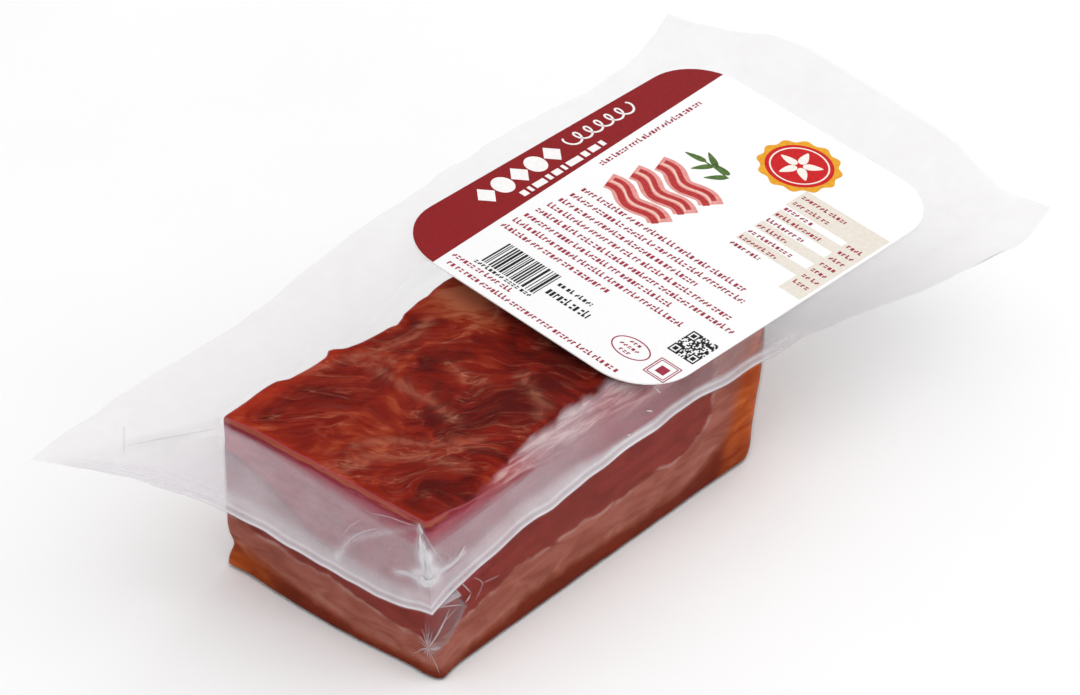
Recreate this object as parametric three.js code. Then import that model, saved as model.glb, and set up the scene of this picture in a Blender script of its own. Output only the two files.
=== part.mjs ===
// A vacuum pack of smoked bacon: a block of bacon held between a top film and a bottom film,
// with a paper label stuck on the top film.
// Millimetres, +Z up. The origin is the middle of the flat underside. +X runs along the pack to
// the end that the label reaches over, +Y to the far long side, where the film spreads wide.
import * as THREE from 'three';
import * as BufferGeometryUtils from 'three/addons/utils/BufferGeometryUtils.js';

// Block of bacon
const blockLeft = -49.6;
const blockRight = 52.2;
const blockWidth = 54.3;
const blockHeight = 36.2;
const cornerRadius = { frontLeft: 2.5, frontRight: 8.5, backRight: 7.5, backLeft: 4 };
const bottomRoundCut = 1.4; // bottom edge of the cut faces
const bottomRoundRind = 5.5; // bottom edge of the right end
const topRound = 1.4;
const endBow = 1.8; // how far the middle of the left end bulges at the bottom
const endSpread = 0.6; // how far all of the left end spreads at the bottom
const frontSpread = 3; // how far the front bulges at the bottom of its left corner
const spreadEnd = 35; // where along the front that bulge has gone

// Label, lying on a plane that climbs toward the far side
const labelLeft = 8.8;
const labelRight = 105.4;
const labelFront = -31.6;
const labelBack = 39;
const labelFrontHeight = 36.5;
const labelSlope = 0.132;
const labelThickness = 0.35;
const labelCornerRadius = 13;
const labelGap = 0.35; // clear space between the film and the label
const labelRamp = 26; // length over which the top climbs to the label's plane
const freeMargin = 4.5; // strip round the label where the film still keeps under its plane
const freeRise = 0.4; // how steeply the film may climb outside that strip

// Film
const filmThickness = 0.9; // both films and the seal between them
const sealWidth = 2; // flat sealed strip along the edge
const sealLift = 1.6; // the films part this far above the strip's outer edge
const shoulderReach = 3.5; // how far the film stands off the block under the label's front edge
const sheetLow = 28; // an edge this low hangs as a skirt from the block's top
const sheetHigh = 36; // an edge this high leaves the block as a flat sheet
const sheetRootDrop = 5; // a flat sheet's lower film leaves the block this far below the top
const skirtRootDrop = 1.2; // a skirt's lower film leaves the block this far below its edge

// Outer edge of the film, [x, y, z], as one smooth run from corner to corner
const leftEdge = [
  [-84.8, 45.3, 35.5], [-75, 36.5, 31.3], [-68, 24.2, 29.4], [-60, 10, 23.5],
  [-56, 0, 19], [-54.5, -19, 17.4], [-53.3, -31.7, 18.7],
];
const frontEdge = [
  [-53.3, -31.7, 18.7], [-44, -31, 21.3], [-20, -31, 24.9], [8, -31, 27.5], [26, -31, 28.2],
  [43, -31, 27.5], [52, -37, 33], [60, -43, 37], [85, -49, 37], [105, -51.5, 37], [117.8, -48.7, 38],
];
const rightEdge = [
  [117.8, -48.7, 38], [117.5, -40, 38], [119, -29.4, 39], [120.6, -20, 42.5], [121.7, 5, 47.2],
  [121.5, 25, 47.5], [116.9, 45.5, 46], [115.4, 55, 45.5],
];
const backEdge = [
  [115.4, 55, 45.5], [101, 49, 46], [83.5, 45.8, 46], [53.6, 47, 46], [6.4, 45.8, 44],
  [-22.7, 45.8, 39], [-55, 47.4, 36.5], [-84.8, 45.3, 35.5],
];
const edgeSteps = [26, 44, 28, 40];

const halfLength = (blockRight - blockLeft) / 2;
const middleX = (blockRight + blockLeft) / 2;
const halfWidth = blockWidth / 2;

const clamp = THREE.MathUtils.clamp;
const lerp = THREE.MathUtils.lerp;
const smoothstep = THREE.MathUtils.smoothstep;

// Height of the label's underside above a point
function labelPlane(y) {
  return labelFrontHeight + labelSlope * (y - labelFront);
}

// How far a point lies outside the label's rectangle
function outsideLabel(x, y) {
  const beyondX = Math.max(labelLeft - x, x - labelRight, 0);
  const beyondY = Math.max(labelFront - y, y - labelBack, 0);
  return Math.hypot(beyondX, beyondY);
}

// Greatest height that the film may have above a point
function filmCeiling(x, y) {
  const free = Math.max(0, outsideLabel(x, y) - freeMargin);
  return labelPlane(y) - labelGap + freeRise * free;
}

// Height of the film on top of the block
function topHeight(x, y) {
  const climb = smoothstep(x, labelLeft - labelRamp, labelLeft);
  return lerp(blockHeight, labelPlane(y) - labelGap, climb);
}

// Nearest point on the block's rounded outline, with the way out from it
function nearestOnBlock(x, y) {
  const signX = Math.sign(x - middleX);
  const signY = Math.sign(y);
  const radius = cornerRadius[(signY > 0 ? 'back' : 'front') + (signX > 0 ? 'Right' : 'Left')];
  const centreX = middleX + signX * (halfLength - radius);
  const centreY = signY * (halfWidth - radius);
  const pastX = (x - centreX) * signX > 0;
  const pastY = (y - centreY) * signY > 0;
  if (pastX && pastY) {
    const out = new THREE.Vector2(x - centreX, y - centreY).normalize();
    return { x: centreX + radius * out.x, y: centreY + radius * out.y, out };
  }
  if (pastY) {
    return { x, y: signY * halfWidth, out: new THREE.Vector2(0, signY) };
  }
  return { x: middleX + signX * halfLength, y, out: new THREE.Vector2(signX, 0) };
}

// Points along the film's whole outer edge, each corner once
function edgePoints() {
  const points = [];
  [leftEdge, frontEdge, rightEdge, backEdge].forEach((marks, side) => {
    const curve = new THREE.CatmullRomCurve3(marks.map((mark) => new THREE.Vector3(...mark)));
    const spaced = curve.getSpacedPoints(edgeSteps[side]);
    points.push(...spaced.slice(0, -1));
  });
  return points;
}

// How far the left end and the front bulge toward the bottom, gone at half height
function spreadOf(foot, z) {
  const low = clamp(1 - z / (blockHeight / 2), 0, 1);
  const across = 1 - (foot.y / halfWidth) ** 2;
  const along = clamp((spreadEnd - foot.x) / (spreadEnd - blockLeft), 0, 1);
  return {
    x: -low * (endBow * across + endSpread) * Math.max(0, -foot.out.x),
    y: -low * frontSpread * along * Math.max(0, -foot.out.y),
  };
}

// One station: the block's side, the film's edge outside it and the profile between them
function station(edge) {
  const foot = nearestOnBlock(edge.x, edge.y);
  const reach = Math.hypot(edge.x - foot.x, edge.y - foot.y);
  const flat = smoothstep(edge.z, sheetLow, sheetHigh);
  const top = topHeight(foot.x, foot.y);
  const underLabel = smoothstep(foot.x, labelLeft - labelRamp, labelLeft) * (foot.y < 0 ? 1 - flat : 0);
  const shoulderAt = lerp(0.05, Math.min(shoulderReach / reach, 0.85), underLabel);
  const sealAt = Math.max(1 - Math.min(sealWidth, 0.4 * reach) / reach, shoulderAt + 0.06);
  const sealHeight = edge.z + lerp(sealLift, 0, flat);
  const root = lerp(edge.z - skirtRootDrop, top - sheetRootDrop, flat);
  return { edge, foot, reach, flat, top, sealAt, shoulderAt, sealHeight, root };
}

// A point between the block's side and the film's edge
function between(s, along, z) {
  return new THREE.Vector3(lerp(s.foot.x, s.edge.x, along), lerp(s.foot.y, s.edge.y, along), z);
}

// Height of the top film at a fraction of the way out
function filmTop(s, along) {
  const shoulder = s.top - lerp(0.3, 0, s.flat);
  let z = lerp(s.sealHeight, s.edge.z + filmThickness / 2, (along - s.sealAt) / (1 - s.sealAt));
  if (along < s.sealAt) {
    z = lerp(shoulder, s.sealHeight, clamp((along - s.shoulderAt) / (s.sealAt - s.shoulderAt), 0, 1));
  }
  const p = between(s, along, z);
  return Math.min(z, filmCeiling(p.x, p.y));
}

// Height of the bottom film at a fraction of the way out
function filmUnder(s, along) {
  const sheetReach = 12;
  const merge = clamp((along * s.reach) / lerp(s.reach, sheetReach, s.flat), 0, 1);
  const close = merge * merge * (3 - 2 * merge);
  return lerp(s.root, filmTop(s, along) - filmThickness, close);
}

// A point on the block, drawn in from its side by an inset
function onBlock(s, inset, z) {
  const spread = spreadOf(s.foot, z);
  return new THREE.Vector3(
    s.foot.x + spread.x - s.foot.out.x * inset,
    s.foot.y + spread.y - s.foot.out.y * inset,
    z,
  );
}

// Radius of the block's bottom edge, greatest at the right end
function bottomRoundOf(foot) {
  return lerp(bottomRoundCut, bottomRoundRind, smoothstep(foot.out.x, 0, 1));
}

// The rings of a station, from the underside, out along the film and back over the top
function profileOf(s) {
  const points = [];
  const insetTop = (scale) => {
    const x = s.foot.x * scale;
    const y = s.foot.y * scale;
    return new THREE.Vector3(x, y, topHeight(x, y));
  };
  const round = bottomRoundOf(s.foot);
  points.push(new THREE.Vector3(s.foot.x * 0.5, s.foot.y * 0.5, 0));
  for (const degrees of [0, 30, 60, 90]) {
    const turn = THREE.MathUtils.degToRad(degrees);
    points.push(onBlock(s, round * (1 - Math.sin(turn)), round * (1 - Math.cos(turn))));
  }
  points.push(onBlock(s, 0, lerp(round, s.root, 0.5)));
  points.push(onBlock(s, 0, s.root));
  for (const along of [0.12, 0.3, 0.55, 0.8, 1]) {
    points.push(between(s, along, filmUnder(s, along)));
  }
  points.push(between(s, 1, filmTop(s, 1)));
  for (let k = 0; k <= 7; k += 1) {
    const along = lerp(s.sealAt, s.shoulderAt, k / 7);
    points.push(between(s, along, filmTop(s, along)));
  }
  points.push(insetTop(1 - topRound / halfWidth));
  for (const scale of [0.85, 0.65, 0.4, 0.2]) {
    points.push(insetTop(scale));
  }
  return points;
}

// One closed skin through the rings of all stations, closed by a fan below and one on top
function loft(profiles, bottom, top) {
  const rings = profiles[0].length;
  const count = profiles.length;
  const positions = profiles.flat().flatMap((p) => [p.x, p.y, p.z]);
  const bottomIndex = positions.length / 3;
  positions.push(bottom.x, bottom.y, bottom.z, top.x, top.y, top.z);
  const topIndex = bottomIndex + 1;
  const at = (i, ring) => (i % count) * rings + ring;
  const faces = [];
  for (let i = 0; i < count; i += 1) {
    faces.push(bottomIndex, at(i + 1, 0), at(i, 0));
    for (let ring = 0; ring < rings - 1; ring += 1) {
      faces.push(at(i, ring), at(i + 1, ring), at(i + 1, ring + 1));
      faces.push(at(i, ring), at(i + 1, ring + 1), at(i, ring + 1));
    }
    faces.push(topIndex, at(i, rings - 1), at(i + 1, rings - 1));
  }
  const geometry = new THREE.BufferGeometry();
  geometry.setAttribute('position', new THREE.Float32BufferAttribute(positions, 3));
  geometry.setIndex(faces);
  return BufferGeometryUtils.mergeVertices(geometry);
}

function makePack() {
  const profiles = edgePoints().map((edge) => profileOf(station(edge)));
  const bottom = new THREE.Vector3(0, 0, 0);
  const top = new THREE.Vector3(0, 0, topHeight(0, 0));
  const material = new THREE.MeshStandardMaterial({ color: '#8f4436', roughness: 0.35 });
  const pack = new THREE.Mesh(loft(profiles, bottom, top), material);
  pack.name = 'pack';
  return pack;
}

function makeLabel() {
  const tilt = Math.atan(labelSlope);
  const length = labelRight - labelLeft;
  const width = (labelBack - labelFront) / Math.cos(tilt);
  const r = labelCornerRadius;
  const outline = new THREE.Shape();
  outline.moveTo(r, 0);
  outline.lineTo(length - r, 0);
  outline.absarc(length - r, r, r, -Math.PI / 2, 0);
  outline.lineTo(length, width - r);
  outline.absarc(length - r, width - r, r, 0, Math.PI / 2);
  outline.lineTo(r, width);
  outline.absarc(r, width - r, r, Math.PI / 2, Math.PI);
  outline.lineTo(0, r);
  outline.absarc(r, r, r, Math.PI, Math.PI * 1.5);
  const options = { depth: labelThickness, bevelEnabled: false, curveSegments: 8 };
  const geometry = new THREE.ExtrudeGeometry(outline, options);
  const material = new THREE.MeshStandardMaterial({ color: '#f2efee', roughness: 0.5 });
  const label = new THREE.Mesh(geometry, material);
  label.name = 'label';
  label.position.set(labelLeft, labelFront, labelFrontHeight);
  label.rotation.x = tilt;
  return label;
}

const baconPack = new THREE.Group();
baconPack.add(makePack(), makeLabel());

export default baconPack;
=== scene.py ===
"""A clear vacuum pack round a block of smoked bacon, with a paper label on its top film.

Places are in millimetres here and become metres as a mesh is shaped. +X runs along the pack to the
end that the label reaches over, +Y to the far long side, +Z up, and the origin is the middle of the
block's underside.
"""
import math
import random

import bpy
from mathutils import Matrix, Vector, noise


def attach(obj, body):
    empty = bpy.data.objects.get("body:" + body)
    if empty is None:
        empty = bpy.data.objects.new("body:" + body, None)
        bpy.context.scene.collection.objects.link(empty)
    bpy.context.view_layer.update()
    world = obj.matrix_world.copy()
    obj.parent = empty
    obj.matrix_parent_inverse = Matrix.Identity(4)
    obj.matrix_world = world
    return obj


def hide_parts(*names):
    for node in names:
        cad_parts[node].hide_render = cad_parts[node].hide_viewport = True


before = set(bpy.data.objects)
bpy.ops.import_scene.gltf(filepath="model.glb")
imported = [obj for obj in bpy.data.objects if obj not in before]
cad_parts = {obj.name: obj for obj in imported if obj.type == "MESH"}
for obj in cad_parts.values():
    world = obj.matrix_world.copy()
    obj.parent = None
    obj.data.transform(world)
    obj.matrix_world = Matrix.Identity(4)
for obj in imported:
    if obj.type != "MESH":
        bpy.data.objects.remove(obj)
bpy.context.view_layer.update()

MM = 0.001

# Block of bacon, with the main sizes of the solid
BLOCK_LEFT, BLOCK_RIGHT = -49.6, 52.2
BLOCK_WIDTH = 54.3
BLOCK_HEIGHT = 36.2
CORNER_RADIUS = {"front_left": 1.6, "front_right": 6.5, "back_right": 7.5, "back_left": 1.6}
BOTTOM_ROUND_CUT = 0.9  # radius along the underside where the meat is cut
BOTTOM_ROUND_RIND = 5.5  # and where the rind turns up the right end
TOP_ROUND = 1.4  # radius of the film over the top edge
END_BOW = 1.8  # how far the middle of the left end bulges near its foot
END_SPREAD = 0.6  # how far all of the left end spreads at its foot
FRONT_SPREAD = 3.0  # how far the front's foot spreads at the left end
SPREAD_END = 35.0  # where along x the front's spread has died out
BACK_LIP, BACK_PEAK = 0.7, 1.5  # how far the top of the back stands out near its left end
CRUMB_X, CRUMB_REACH = -18.7, 1.6  # a crumb of meat pressed against the film on the back's top edge
PEAK_REACH = 1.5  # how far the far left corner stands out
PINCH_HEIGHT, PINCH_SHARE = 5.4, 0.85  # where that corner is pinched, and the share of its reach lost
TOE_REACH = 1.5  # how far the near left corner's foot stands out
SHOULDER_REACH = 2.2  # how far the near right corner stands out at the top
HALF_LENGTH = (BLOCK_RIGHT - BLOCK_LEFT) / 2
HALF_WIDTH = BLOCK_WIDTH / 2
MIDDLE_X = (BLOCK_RIGHT + BLOCK_LEFT) / 2

# Label, on a plane that climbs toward the far side
LABEL_LEFT, LABEL_RIGHT = 8.8, 105.4
LABEL_FRONT, LABEL_BACK = -31.6, 39.0
LABEL_FRONT_HEIGHT = 36.5  # height of the plane at the label's front edge
LABEL_SLOPE = 0.132
LABEL_CORNER = 13.0
LABEL_RAMP = 26.0  # length over which the film climbs to the label
LABEL_UNDER, LABEL_TOP = -0.05, 0.3  # the paper's two faces, measured up from the plane
PRINT_THICKNESS = 0.03

# Film
FILM = 0.12  # thickness of each film
FILM_SINK = 0.1  # the top film's outer face lies this far below the block's top
FILM_CLEARANCE = 0.35  # clear space between film and label
LABEL_MARGIN, CEILING_RISE = 4.5, 0.4  # past this margin round the label, the film may rise at this slope
SHEET_GAP = 0.75  # the bottom film lies this far below the top film in the flat sheet
LOW_CLEARANCE = 0.5  # and at least this far below the greatest height of any film
MEAT_INSET = 0.28  # the meat's surface lies this far inside the film
MEAT_EDGE = 0.7  # radius of the meat's cut top edge
SEAL_WIDTH = 2.0
SEAL_LIFT = 1.6  # the skirt's seal starts this far above its edge
SEAL_HALF = 0.14  # each film's outer face lies this far from the middle of the seal
CLING_NEAR, CLING_FAR = 4.4, 0.8  # height of the band below the top edge where the film still clings
SHEET_LOW, SHEET_HIGH = 28.0, 36.0  # edges between these heights turn from skirt to flat sheet
SHEET_ROOT_DROP = 5.0  # the bottom film leaves the block this far below the top film at the sheet
SKIRT_ROOT_DROP = 1.2  # and this far below the edge at the skirt
TOP_MIDDLE = (28.0, 0.0)  # where the rings of the top film close, under the label

# Outer edge of the film, as x, y and height
LEFT_EDGE = [
    (-84.8, 45.3, 35.5), (-75, 36.5, 31.3), (-68, 24.2, 29.4), (-60, 10, 23.5),
    (-56, 0, 19), (-54.5, -19, 17.4), (-53.3, -31.7, 18.7),
]
FRONT_EDGE = [
    (-53.3, -31.7, 18.7), (-44, -31, 21.3), (-20, -31, 24.9), (8, -31, 27.5), (26, -31, 28.2),
    (43, -31, 27.5), (52, -37, 33), (60, -43, 37), (85, -49, 37), (105, -51.5, 37),
    (117.8, -48.7, 38),
]
RIGHT_EDGE = [
    (117.8, -48.7, 38), (117.5, -40, 38), (119, -29.4, 39), (120.6, -20, 42.5), (121.7, 5, 47.2),
    (121.5, 25, 47.5), (116.9, 45.5, 46), (115.4, 55, 45.5),
]
BACK_EDGE = [
    (115.4, 55, 45.5), (101, 49, 46), (83.5, 45.8, 46), (53.6, 47, 46), (6.4, 45.8, 44),
    (-22.7, 45.8, 39), (-55, 47.4, 36.5), (-84.8, 45.3, 35.5),
]
# Steps along each side, and how much the steps crowd toward the near corner at -x, -y
EDGE_RUNS = [(LEFT_EDGE, 104, -0.62), (FRONT_EDGE, 150, 0.62), (RIGHT_EDGE, 50, 0), (BACK_EDGE, 92, 0)]

# Fat seams on top of the meat, as (x, y) runs
TOP_SEAMS = [
    [(-18.5, 22.7), (-17.2, 15.9), (-18.2, 7), (-18.8, -1.2), (-20.1, -6.9)],
    [(-45, -0.6), (-40.8, -2.2), (-32.9, -12), (-30.7, -18.9)],
    [(-40, 1.9), (-33.3, -2), (-29.9, -9.2), (-21.5, -15)],
    [(-50, 3.5), (-47.2, -2.6), (-41.9, -4)],
    [(-6.6, 6.4), (-8, 1), (-6.8, -1.4)],
    [(-14.5, 20.8), (-13.6, 16.3)],
    [(-36, -7.2), (-32.8, -10.8), (-31.2, -16.4), (-31.1, -19.3)],
    [(-0.4, -6.8), (-2.7, -12.2), (-4.9, -17), (-8.1, -18.1)],
    [(2.9, 21), (-3, 19.5), (-7.4, 19.9), (-11.3, 20.8), (-16.1, 22.5), (-21.3, 24.8), (-28.1, 27.2)],
]

# Patches on top of the meat: middle x and y, width, and a tone that is dark below 0 and pale above
TOP_SPOTS = [
    (4, -12, 13, -1.0), (-40, -17, 8, -1.3), (8, 15, 8, 1.0), (-38, -4, 9, 0.6), (-12, 20, 9, 0.3),
    (-17, -3, 9, -0.7), (-42, 12, 9, 0.2), (-26, 8, 8, 0.3), (-28, -19, 6, 0.2), (-6, 25, 4, 0.8),
    # (13, 20, 8, 2.0) is tan tissue by the label's left edge, made paler still as painted light against the
    # label's shadow.
    (13, 20, 8, 2.0), (-6, 12, 7, -0.5),
]

random.seed(7)


# Numbers and small sums

def clamp(value, low=0.0, high=1.0):
    return max(low, min(high, value))


def lerp(a, b, t):
    return a + (b - a) * t


def smoothstep(value, low, high):
    t = clamp((value - low) / (high - low))
    return t * t * (3 - 2 * t)


def bell(distance, width):
    """1 at no distance, falling smoothly to nothing at about twice the width."""
    return math.exp(-((distance / width) ** 2))


def waves(x, y, z, length, seed=0.0):
    """Smooth seeded noise from about -1 to 1, with waves of the given length in mm."""
    return noise.noise(Vector((x / length + seed, y / length - seed, z / length + 0.7 * seed)))


def distance_to_run(x, y, run):
    """Shortest distance from a point to a run of straight pieces, in a plane."""
    best = 1e9
    for (ax, ay), (bx, by) in zip(run, run[1:]):
        dx, dy = bx - ax, by - ay
        t = clamp(((x - ax) * dx + (y - ay) * dy) / (dx * dx + dy * dy))
        best = min(best, math.hypot(x - ax - t * dx, y - ay - t * dy))
    return best


def smooth_run(marks, fractions):
    """Points on a smooth centripetal curve through the marks, at fractions of its length."""
    marks = [Vector(mark) for mark in marks]
    padded = [2 * marks[0] - marks[1], *marks, 2 * marks[-1] - marks[-2]]
    fine = []
    for p0, p1, p2, p3 in zip(padded, padded[1:], padded[2:], padded[3:]):
        d0, d1, d2 = (math.sqrt((b - a).length) for a, b in ((p0, p1), (p1, p2), (p2, p3)))
        start = ((p1 - p0) / d0 - (p2 - p0) / (d0 + d1) + (p2 - p1) / d1) * d1
        end = ((p2 - p1) / d1 - (p3 - p1) / (d1 + d2) + (p3 - p2) / d2) * d1
        for k in range(40):
            t = k / 40
            fine.append((2 * t**3 - 3 * t**2 + 1) * p1 + (t**3 - 2 * t**2 + t) * start
                        + (3 * t**2 - 2 * t**3) * p2 + (t**3 - t**2) * end)
    fine.append(marks[-1])
    lengths = [0.0]
    for a, b in zip(fine, fine[1:]):
        lengths.append(lengths[-1] + (b - a).length)
    points, k = [], 0
    for fraction in fractions:
        goal = fraction * lengths[-1]
        while k < len(fine) - 2 and lengths[k + 1] < goal:
            k += 1
        t = clamp((goal - lengths[k]) / (lengths[k + 1] - lengths[k]))
        points.append(fine[k].lerp(fine[k + 1], t))
    return points


# The form that the meat and the film share

def label_plane(y):
    return LABEL_FRONT_HEIGHT + LABEL_SLOPE * (y - LABEL_FRONT)


def outside_label(x, y):
    """How far a point lies outside the label's rectangle."""
    return math.hypot(max(LABEL_LEFT - x, x - LABEL_RIGHT, 0), max(LABEL_FRONT - y, y - LABEL_BACK, 0))


def film_ceiling(x, y):
    """Greatest height that the film may have above a point."""
    free = max(0, outside_label(x, y) - LABEL_MARGIN)
    return label_plane(y) - FILM_CLEARANCE + CEILING_RISE * free


def top_height(x, y):
    """Height of the film on top of the block, which climbs to the label's plane."""
    climb = smoothstep(x, LABEL_LEFT - LABEL_RAMP, LABEL_LEFT)
    return lerp(BLOCK_HEIGHT, label_plane(y) - FILM_CLEARANCE, climb)


def corner_of(x, y):
    """Radius and middle of the block's upright corner nearest to a point."""
    name = ("back" if y > 0 else "front") + ("_right" if x > MIDDLE_X else "_left")
    radius = CORNER_RADIUS[name]
    middle_x = MIDDLE_X + math.copysign(HALF_LENGTH - radius, x - MIDDLE_X)
    return radius, middle_x, math.copysign(HALF_WIDTH - radius, y)


def nearest_on_block(x, y):
    """Nearest point on the block's rounded outline and the way out from it."""
    radius, middle_x, middle_y = corner_of(x, y)
    side_x, side_y = math.copysign(1, x - MIDDLE_X), math.copysign(1, y)
    past_x, past_y = (x - middle_x) * side_x > 0, (y - middle_y) * side_y > 0
    if past_x and past_y:
        out = Vector((x - middle_x, y - middle_y)).normalized()
        return Vector((middle_x, middle_y)) + radius * out, out
    if past_y:
        return Vector((x, side_y * HALF_WIDTH)), Vector((0, side_y))
    return Vector((MIDDLE_X + side_x * HALF_LENGTH, y)), Vector((side_x, 0))


def spread_of(foot, out, z):
    """How far a side stands out at a height, from bulges near the bottom, lips and corners."""
    low = clamp(1 - z / (BLOCK_HEIGHT / 2))
    across = 1 - (foot.y / HALF_WIDTH) ** 2
    along = clamp((SPREAD_END - foot.x) / (SPREAD_END - BLOCK_LEFT))
    spread = Vector((-low * (END_BOW * across + END_SPREAD) * max(0, -out.x),
                     -low * FRONT_SPREAD * along * max(0, -out.y)))
    far_left = bell((foot - Vector((BLOCK_LEFT, HALF_WIDTH))).length, 4)
    peak = PEAK_REACH * far_left * (1 - PINCH_SHARE * bell(z - PINCH_HEIGHT, 2.6))
    toe = TOE_REACH * bell((foot - Vector((BLOCK_LEFT, -HALF_WIDTH))).length, 4) * bell(z, 2.5)
    lip = BACK_LIP * smoothstep(foot.x, -50, -44) * (1 - smoothstep(foot.x, -20, -12))
    lip += BACK_PEAK * smoothstep(foot.x, -49, -36) * (1 - smoothstep(foot.x, -34.5, -30.5))
    crumb = CRUMB_REACH * bell(foot.x - CRUMB_X, 1.5) * smoothstep(z, 32, 35)
    lip = max(0, out.y) * (lip * smoothstep(z, 18, 34) + crumb)
    near_right = bell((foot - Vector((BLOCK_RIGHT, -HALF_WIDTH))).length, 9)
    shoulder = SHOULDER_REACH * near_right * smoothstep(z, 3, 26)
    return (spread + Vector((-0.7, 0.7)) * peak + Vector((-0.5, -0.8)) * toe + Vector((0, lip))
            + Vector((0.8, -0.6)) * shoulder)


def bottom_round_of(out):
    return lerp(BOTTOM_ROUND_CUT, BOTTOM_ROUND_RIND, smoothstep(out.x, 0, 1))


def on_block(foot, out, inset, z):
    spread = spread_of(foot, out, z)
    return Vector((foot.x + spread.x - out.x * inset, foot.y + spread.y - out.y * inset, z))


# Meshes shaped from primitives

def only(piece):
    """Makes a piece the one selected and active object."""
    bpy.ops.object.select_all(action="DESELECT")
    piece.select_set(True)
    bpy.context.view_layer.objects.active = piece


def edit_all(piece):
    only(piece)
    bpy.ops.object.mode_set(mode="EDIT")
    bpy.ops.mesh.select_all(action="SELECT")


def end_edit():
    bpy.ops.object.mode_set(mode="OBJECT")


def placed_grid(name, columns, rows, place):
    """A grid whose points go to place(u, v), with u and v from 0 to 1."""
    bpy.ops.object.select_all(action="DESELECT")
    bpy.ops.mesh.primitive_grid_add(x_subdivisions=columns, y_subdivisions=rows, size=2)
    piece = bpy.context.object
    piece.name = piece.data.name = name
    for vertex in piece.data.vertices:
        vertex.co = place((vertex.co.x + 1) / 2, (vertex.co.y + 1) / 2) * MM
    return piece


def close_seam(piece):
    """Merges the points that meet and turns the faces one way."""
    edit_all(piece)
    bpy.ops.mesh.remove_doubles(threshold=0.004 * MM)
    bpy.ops.mesh.normals_make_consistent(inside=False)
    end_edit()


def face_way(piece, upward):
    """Turns an open skin over where most of it faces the wrong way."""
    total = sum(face.normal.z * face.area for face in piece.data.polygons)
    if (total > 0) != upward:
        edit_all(piece)
        bpy.ops.mesh.flip_normals()
        end_edit()


def modify(piece, kind, **settings):
    """Adds a modifier and applies it."""
    only(piece)
    modifier = piece.modifiers.new(kind.title(), kind)
    for name, value in settings.items():
        setattr(modifier, name, value)
    bpy.ops.object.modifier_apply(modifier=modifier.name)


def smooth(piece, degrees=40):
    only(piece)
    bpy.ops.object.shade_smooth_by_angle(angle=math.radians(degrees))


def write_attribute(piece, name, values):
    attribute = piece.data.attributes.new(name, "FLOAT", "POINT")
    attribute.data.foreach_set("value", values)


def finish_piece(piece, material, slot, *nodes):
    piece.data.materials.clear()
    piece.data.materials.append(material)
    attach(piece, "root")
    if nodes:
        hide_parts(*nodes)


# Materials

def linear(colour):
    """An sRGB hex colour as linear red, green, blue and alpha."""
    parts = [int(colour[i:i + 2], 16) / 255 for i in (1, 3, 5)]
    return (*[p / 12.92 if p <= 0.04045 else ((p + 0.055) / 1.055) ** 2.4 for p in parts], 1.0)


def grey(level):
    return (level, level, level, 1.0)


# A Mix node's inputs and its output when it mixes colours, and its inputs when it mixes values
FACTOR, FIRST, SECOND, MIXED = 0, 6, 7, 2
FIRST_VALUE, SECOND_VALUE = 2, 3


def main_output(node):
    """The output that carries a node's result."""
    if node.bl_idname == "ShaderNodeAttribute":
        return node.outputs["Fac"]
    if node.bl_idname == "ShaderNodeMix" and node.data_type == "RGBA":
        return node.outputs[MIXED]
    return node.outputs[0]


def add_node(tree, kind, settings=None, links=None):
    """Adds a shader node. Settings are its own options, input values or ramp stops, each a place with
    a hex colour or a level of grey. Links feed inputs from nodes, or from one output of a node."""
    node = tree.nodes.new("ShaderNode" + kind)
    for key, value in (settings or {}).items():
        if key == "stops":
            elements = node.color_ramp.elements
            while len(elements) < len(value):
                elements.new(0.5)
            for element, (place, tone) in zip(elements, value):
                element.position = place
                element.color = linear(tone) if isinstance(tone, str) else grey(tone)
        elif isinstance(key, str) and hasattr(node, key):
            setattr(node, key, value)
        else:
            node.inputs[key].default_value = value
    for key, source in (links or {}).items():
        output = source if isinstance(source, bpy.types.NodeSocket) else main_output(source)
        tree.links.new(output, node.inputs[key])
    return node


def new_material(name):
    """An empty material with its tree and its place in millimetres."""
    material = bpy.data.materials.new(name)
    material.use_nodes = True
    tree = material.node_tree
    tree.nodes.clear()
    coordinates = add_node(tree, "TexCoord")
    place = add_node(tree, "Mapping", {"Scale": (1000, 1000, 1000)},
                     {"Vector": coordinates.outputs["Object"]})
    return material, tree, place


def add_surface(tree, settings, links):
    """The shader of a material, with the output that shows it."""
    shader = add_node(tree, "BsdfPrincipled", settings, links)
    add_node(tree, "OutputMaterial", links={"Surface": shader})


# What the bacon's material reads at each point of its mesh. Shares from 0 to 1: lid, the cut top;
# ember, the smoke stain; rim, the redder edge of the top; strip, the fat along the top's front.
# Lengths in mm: depth from the rind, seam to the nearest fat seam, drop below the cut top edge.
# Tone makes patches of the top darker or paler.
MEAT_MARKS = ("lid", "depth", "seam", "ember", "rim", "tone", "drop", "strip")
DEPTH_SPAN = 40.0  # the colours of the sides cover this depth
DROP_SPAN = 8.0  # the streak under the cut top edge has faded at this drop


def in_span(span, stops):
    """Ramp stops with places in mm, as shares of a span."""
    return [(place / span, tone) for place, tone in stops]


def swing(tree, source, reach):
    """A noise as a push of up to reach each way."""
    return add_node(tree, "Math", {"operation": "MULTIPLY_ADD", 1: 2 * reach, 2: -reach}, {0: source})


def crossing_line(tree, source, middle, width, strength):
    """A thin line where a noise crosses its middle value."""
    side = add_node(tree, "Math", {"operation": "SUBTRACT", 1: middle}, {0: source})
    gap = add_node(tree, "Math", {"operation": "ABSOLUTE"}, {0: side})
    return add_node(tree, "MapRange", {"From Min": width, "From Max": 0.0, "To Max": strength},
                    {"Value": gap})


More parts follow.
